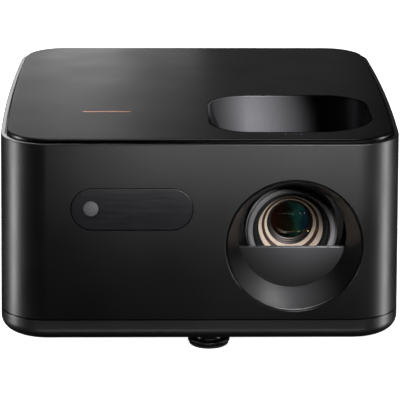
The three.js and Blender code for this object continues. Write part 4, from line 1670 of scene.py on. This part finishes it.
@dataclass
class RearPanel:
    """The panel at the back with its sockets and the power button."""

    corner: float = 5.0
    socket_wall: float = 0.8
    clearance: float = 0.4
    jack_radius: float = 3.1
    jack_drop: float = 2.0
    audio_radius: float = 1.8
    audio_drop: float = 4.0
    button_radius: float = 4.5
    button_hole: float = 4.8

    def build(self) -> None:
        """Builds the panel and everything that looks out of it."""
        self.build_panel()
        self.build_socket("hdmi_socket", "video_socket")
        self.build_socket("usb_socket", "data_socket")
        self.build_jack("power_jack", "power_inlet", self.jack_radius, self.jack_drop, 1.0)
        self.build_jack("audio_jack", "audio_outlet", self.audio_radius, self.audio_drop, 0.0)
        self.build_button()

    def rod(
        self, x: float, z: float, radius: float, front: float, back: float, steps: int = 48
    ) -> bmesh.types.BMesh:
        """A cylinder along Y.

        Args:
            x: Its axis's x.
            z: Its axis's z.
            radius: Its radius.
            front: Its lowest y.
            back: Its highest y.
            steps: How many faces go round.
        Returns:
            The cylinder's mesh.
        """
        profile = [(0, front), (radius, front), (radius, back), (0, back)]
        return revolve(profile, Vector((x, 0.0, z)), Axis.Y, steps)

    def build_panel(self) -> None:
        """The panel, with a hole for each socket and the button."""
        box = Extent.of("port_panel")
        bm = rounded_block(tuple(box.low), tuple(box.high), self.corner, Axis.Y)
        round_edges(bm, end_face(bm, Axis.Y.vector).edges, 0.35, 3)
        panel = store("socket_panel", bm)
        front, back = box.low.y - 2, box.high.y + 2
        holes = []
        for name in ("hdmi_socket", "usb_socket"):
            socket = Extent.of(name)
            reach = self.socket_wall - self.clearance
            low = (socket.low.x + reach, front, socket.low.z + reach)
            high = (socket.high.x - reach, back, socket.high.z - reach)
            holes.append(rounded_block(low, high, 0.8, Axis.Y, 4))
        middle = box.centre.z
        jack, audio, button = Extent.of("power_jack"), Extent.of("audio_jack"), Extent.of("power_button")
        holes.append(self.rod(jack.centre.x, middle - self.jack_drop, self.jack_radius + 0.6, front, back))
        holes.append(self.rod(audio.centre.x, middle - self.audio_drop, self.audio_radius + 0.6, front, back))
        holes.append(self.rod(button.centre.x, button.centre.z, self.button_hole, front, back, 64))
        carve(panel, gather(holes))
        shade(panel)
        settle(panel, "port_panel")

    def build_socket(self, name: str, title: str) -> None:
        """A rectangular socket: a folded steel shell with a flared mouth, and its contact tongue.

        Args:
            name: The socket's node.
            title: The piece's name.
        """
        box = Extent.of(name)
        bm = rounded_block(tuple(box.low), tuple(box.high), 0.6, Axis.Y, 4)
        mouth = end_face(bm, Axis.Y.vector)
        inset(bm, mouth, self.socket_wall - 0.35)
        mouth = push(bm, mouth, (0, -0.5, 0))
        inset(bm, mouth, 0.35)
        push(bm, mouth, (0, 1.5 + box.low.y - box.high.y + 0.5, 0))
        inner = self.socket_wall + 1.6
        low = (box.low.x + inner, box.low.y + 1.4, box.centre.z - 0.5)
        high = (box.high.x - inner, box.high.y - 1.5, box.centre.z + 0.5)
        tongue = block(low, high)
        round_edges(tongue, end_face(tongue, Axis.Y.vector).edges, 0.25, 2)
        socket = store(title, gather([bm, tongue]))
        shade(socket)
        settle(socket, name, Palette.STEEL)

    def build_jack(self, name: str, title: str, radius: float, drop: float, pin: float) -> None:
        """A round jack: a moulded block with a stepped bore, and a pin where it has one.

        Args:
            name: The jack's node.
            title: The piece's name.
            radius: Its bore's radius.
            drop: How far its axis is below the panel's middle.
            pin: Its pin's radius, or zero.
        """
        box, panel = Extent.of(name), Extent.of("port_panel")
        z = panel.centre.z - drop
        bm = block(tuple(box.low), tuple(box.high))
        round_edges(bm, edges_along(bm, Axis.Y), 0.6, 3)
        jack = store(title, bm)
        front, back = box.low.y + 2.5, box.high.y + 1
        centre, face = Vector((box.centre.x, 0, z)), box.high.y
        flare = [(radius + 0.4, back), (radius + 0.4, face - 0.1), (radius, face - 0.5)]
        carve(jack, revolve([(0, back), *flare, (radius, front), (0, front)], centre, Axis.Y, 48))
        if pin:
            root = front - 0.5
            tip = [(0, root), (pin, root), (pin, back - 3.0), (pin * 0.5, back - 2.2), (0, back - 2.1)]
            whole = bmesh.new()
            whole.from_mesh(jack.data)
            bmesh.ops.scale(whole, vec=(1 / MM,) * 3, verts=whole.verts)
            both = store(f"{title}_pin", gather([whole, revolve(tip, centre, Axis.Y, 24)]))
            jack.data = both.data
            bpy.data.objects.remove(both)
        shade(jack)
        settle(jack, name)

    def build_button(self) -> None:
        """The power button: a dished cap with a soft edge, on its collar."""
        box = Extent.of("power_button")
        radius, collar = self.button_radius, box.size.x / 2
        front, back = box.low.y, box.high.y
        panel = Extent.of("port_panel").low.y
        profile = [
            (0.0, front),
            (radius, front),
            (radius, panel - 1.6),
            (collar, panel - 1.6),
            (collar, panel - 0.3),
            (radius, panel - 0.3),
            (radius, back - 0.6),
            (radius - 0.2, back - 0.15),
            (radius - 0.7, back),
            (radius - 1.6, back - 0.12),
            (radius * 0.35, back - 0.45),
            (0.0, back - 0.5),
        ]
        centre = box.hub(Axis.Y)
        button = store("power_button_cap", revolve(profile, centre, Axis.Y, 64))
        shade(button)
        settle(button, "power_button", Palette.WINDOW)


# ---- what stays as the frame has it ----


def dress_frame() -> None:
    """Gives every CAD node the finish of its slot."""
    for name, piece in frame["nodes"].items():
        finish = Palette.BY_SLOT[slot_of(name)]
        if not piece.material_slots:
            piece.data.materials.append(material_of(finish))
        for place in piece.material_slots:
            place.material = material_of(finish)
        LOG.info("%s wears %s", name, finish.title)


# ---- studio ----


@dataclass(frozen=True)
class SoftBox:
    """A soft rectangular lamp that the camera doesn't see, placed in metres and aimed at a point.

    It falls on every piece, on none but those in only, or on all but those in never.
    """

    name: str
    place: Corner
    aim: Corner
    size: Point
    power: float
    only: tuple[str, ...] = ()
    never: tuple[str, ...] = ()
    spread: float = 180.0

    def lights(self, piece: bpy.types.Object) -> bool:
        """Whether the lamp falls on a piece, or is flagged off it.

        Args:
            piece: Any object of the scene.
        Returns:
            True when it does.
        """
        if piece.type != "MESH" or piece.name in self.never:
            return False
        return not self.only or piece.name in self.only

    def build(self) -> None:
        """Hangs the lamp, and flags it off the pieces that it isn't meant for."""
        lamp = bpy.data.lights.new(self.name, "AREA")
        lamp.shape = "RECTANGLE"
        lamp.size, lamp.size_y = self.size
        lamp.energy = self.power
        lamp.spread = math.radians(self.spread)
        made = bpy.data.objects.new(self.name, lamp)
        made.location = self.place
        made.rotation_mode = "QUATERNION"
        made.rotation_quaternion = (Vector(self.aim) - Vector(self.place)).to_track_quat("-Z", "Y")
        made.visible_camera = False
        if self.only or self.never:
            reach = bpy.data.collections.new(f"{self.name} reach")
            for piece in filter(self.lights, bpy.data.objects):
                reach.objects.link(piece)
            made.light_linking.receiver_collection = reach
        bpy.context.scene.collection.objects.link(made)


LENS_CELL = ("lens_cell_body", "coated_edge_rings")
LENS_WELL = ("lens_well_cone", "half_moon_ledge")
FINGER_WELL = ("finger_well",)
LID = ("raised_top_plate",)
# The glass and the hollows, which the room's lamps would fill with glare, and which have lamps of their own
HOLLOWS = ("front_glass", "inner_element") + LENS_CELL + FINGER_WELL + LENS_WELL


@dataclass(frozen=True)
class Studio:
    """Pale floor that sweeps up all round, soft lamps, and the camera."""

    camera_place: Corner = (-0.0205, -1.1059, 0.3889)
    turn: float = 0.0225
    dip: float = 0.2953
    roll: float = 0.0057
    lens: float = 183.57
    shift: float = -0.0116
    floor_radius: float = 2000.0
    sweep: float = 1400.0
    ceiling: float = 4000.0
    floor_gap: float = 0.02
    floor_glow: float = 0.95
    room_glow: float = 0.008
    lamps: tuple[SoftBox, ...] = (
        SoftBox(
            "front low", (0.05, -0.26, 0.08), (0.04, -0.109, 0.07), (0.24, 0.05), 0.12,
            never=HOLLOWS + LID,
        ),
        SoftBox(
            "front high", (0.12, -0.26, 0.17), (0.09, -0.109, 0.07), (0.22, 0.05), 0.54,
            never=HOLLOWS + LID,
        ),
        SoftBox(
            "side left", (-0.595, -0.08, 0.06), (-0.09, -0.09, 0.04), (0.14, 0.50), 2.6,
            never=HOLLOWS,
        ),
        SoftBox(
            "side right", (0.585, -0.10, 0.0), (0.09, -0.09, 0.04), (0.14, 0.50), 2.2,
            never=HOLLOWS,
        ),
        SoftBox(
            "back far", (-0.224, 1.268, 0.241), (0.0, -0.03, 0.06), (0.325, 0.26), 0.48, never=FINGER_WELL
        ),
        SoftBox(
            "back near", (-0.05, 0.44, 0.155), (0.0, -0.03, 0.06), (0.12, 0.09), 0.02, never=FINGER_WELL
        ),
        SoftBox(
            "back wide", (0.06, 1.268, 0.42), (0.03, -0.03, 0.1), (0.35, 0.3), 0.04, never=FINGER_WELL
        ),
        SoftBox(
            "overhead", (0.0, -0.35, 1.10), (0.0, -0.05, 0.1), (0.50, 0.40), 2.5,
            never=HOLLOWS,
        ),
        SoftBox(
            "rear key", (-0.5, 1.2, 0.9), (0.0, 0.1, 0.05), (0.8, 0.5), 14.0,
            never=HOLLOWS + LID,
        ),
        SoftBox(
            "finger well beam", (-0.06, -0.25, 0.30), (0.0285, -0.017, 0.108), (0.01, 0.01), 0.040,
            only=FINGER_WELL, spread=11.0,
        ),
        SoftBox(
            "lens well beam", (0.046, -0.25, 0.20), (0.042, -0.098, 0.030), (0.01, 0.01), 0.034,
            only=("lens_well_cone",), spread=16.0,
        ),
        SoftBox(
            "half-moon beam", (0.13, -0.25, 0.19), (0.059, -0.088, 0.080), (0.02, 0.02), 0.17,
            only=("half_moon_ledge",), spread=20.0,
        ),
        SoftBox(
            "lens key", (0.22, -0.55, 0.34), (0.0485, -0.08, 0.065), (0.10, 0.10), 4.6,
            only=LENS_CELL,
        ),
        SoftBox(
            "cone fill", (0.22, -0.55, 0.34), (0.0485, -0.08, 0.065), (0.10, 0.10), 0.7,
            only=("lens_well_cone",),
        ),
        SoftBox(
            "cell kicker", (-0.12, -0.40, 0.42), (0.0485, -0.08, 0.065), (0.15, 0.15), 2.5,
            only=("lens_cell_body",),
        ),
        SoftBox(
            "base glow", (0.0, -0.38, -0.20), (0.0, -0.105, 0.012), (0.6, 0.04), 0.32,
            only=("base_tray_shell",),
        ),
    )

    def build(self) -> None:
        """Builds the floor, the lamps and the camera."""
        self.build_floor()
        for lamp in self.lamps:
            lamp.build()
        world = bpy.data.worlds.new("dim room")
        world.use_nodes = True
        glow = world.node_tree.nodes["Background"].inputs["Color"]
        glow.default_value = (self.room_glow,) * 3 + (1.0,)
        bpy.context.scene.world = world
        bpy.context.scene.view_settings.view_transform = "Standard"
        self.build_camera()

    def build_floor(self) -> None:
        """A round floor that sweeps up into a wall, so that it fills every view and lights nothing."""
        turns = [i / 10 * math.pi / 2 for i in range(11)]
        arc = [
            (self.floor_radius + self.sweep * math.sin(turn), self.sweep * (1 - math.cos(turn)))
            for turn in turns
        ]
        profile = [(0.0, 0.0), *arc, (arc[-1][0], self.ceiling), (0.0, self.ceiling)]
        bm = revolve(profile, Vector((0, 0, -self.floor_gap)), Axis.Z, 64)
        bmesh.ops.reverse_faces(bm, faces=bm.faces)
        floor = store("floor", bm)
        shade(floor)
        paint = bpy.data.materials.new("Pale matt paint")
        paint.use_nodes = True
        shader = paint.node_tree.nodes["Principled BSDF"]
        shader.inputs["Base Color"].default_value = linear("#f4f4f4")
        shader.inputs["Roughness"].default_value = 0.9
        shader.inputs["Emission Color"].default_value = linear("#ffffff")
        shader.inputs["Emission Strength"].default_value = self.floor_glow
        floor.data.materials.append(paint)
        for ray in ("diffuse", "glossy", "transmission", "shadow"):
            setattr(floor, f"visible_{ray}", False)

    def build_camera(self) -> None:
        """The camera, level with its own roll, looking down at the front."""
        level = Vector((math.cos(self.turn), -math.sin(self.turn), 0.0))
        flat = Vector((math.sin(self.turn), math.cos(self.turn), 0.0))
        ahead = math.cos(self.dip) * flat - math.sin(self.dip) * Axis.Z.vector
        above = level.cross(ahead)
        right = math.cos(self.roll) * level + math.sin(self.roll) * above
        up = math.cos(self.roll) * above - math.sin(self.roll) * level
        data = bpy.data.cameras.new("camera")
        data.lens = self.lens
        data.sensor_width = 36.0
        data.shift_x = self.shift
        camera = bpy.data.objects.new("camera", data)
        turned = Matrix((right, up, -ahead)).transposed()
        camera.matrix_world = Matrix.Translation(self.camera_place) @ turned.to_4x4()
        bpy.context.scene.collection.objects.link(camera)
        bpy.context.scene.camera = camera


def main() -> None:
    """Builds every sub-assembly in order, then the studio, whose lamps are flagged by piece."""
    logging.basicConfig(level=logging.INFO, format="%(name)s: %(message)s")
    dress_frame()
    plan = Plan.from_band(Extent.of("shell_band"))
    Casing(plan).build()
    PlateMarks().build()
    LensWell().build(plan)
    SensorWindow().build()
    Lens().build()
    Feet().build()
    BaseFixings().build()
    RearPanel().build()
    Studio().build()


if __name__ == "__main__":
    main()
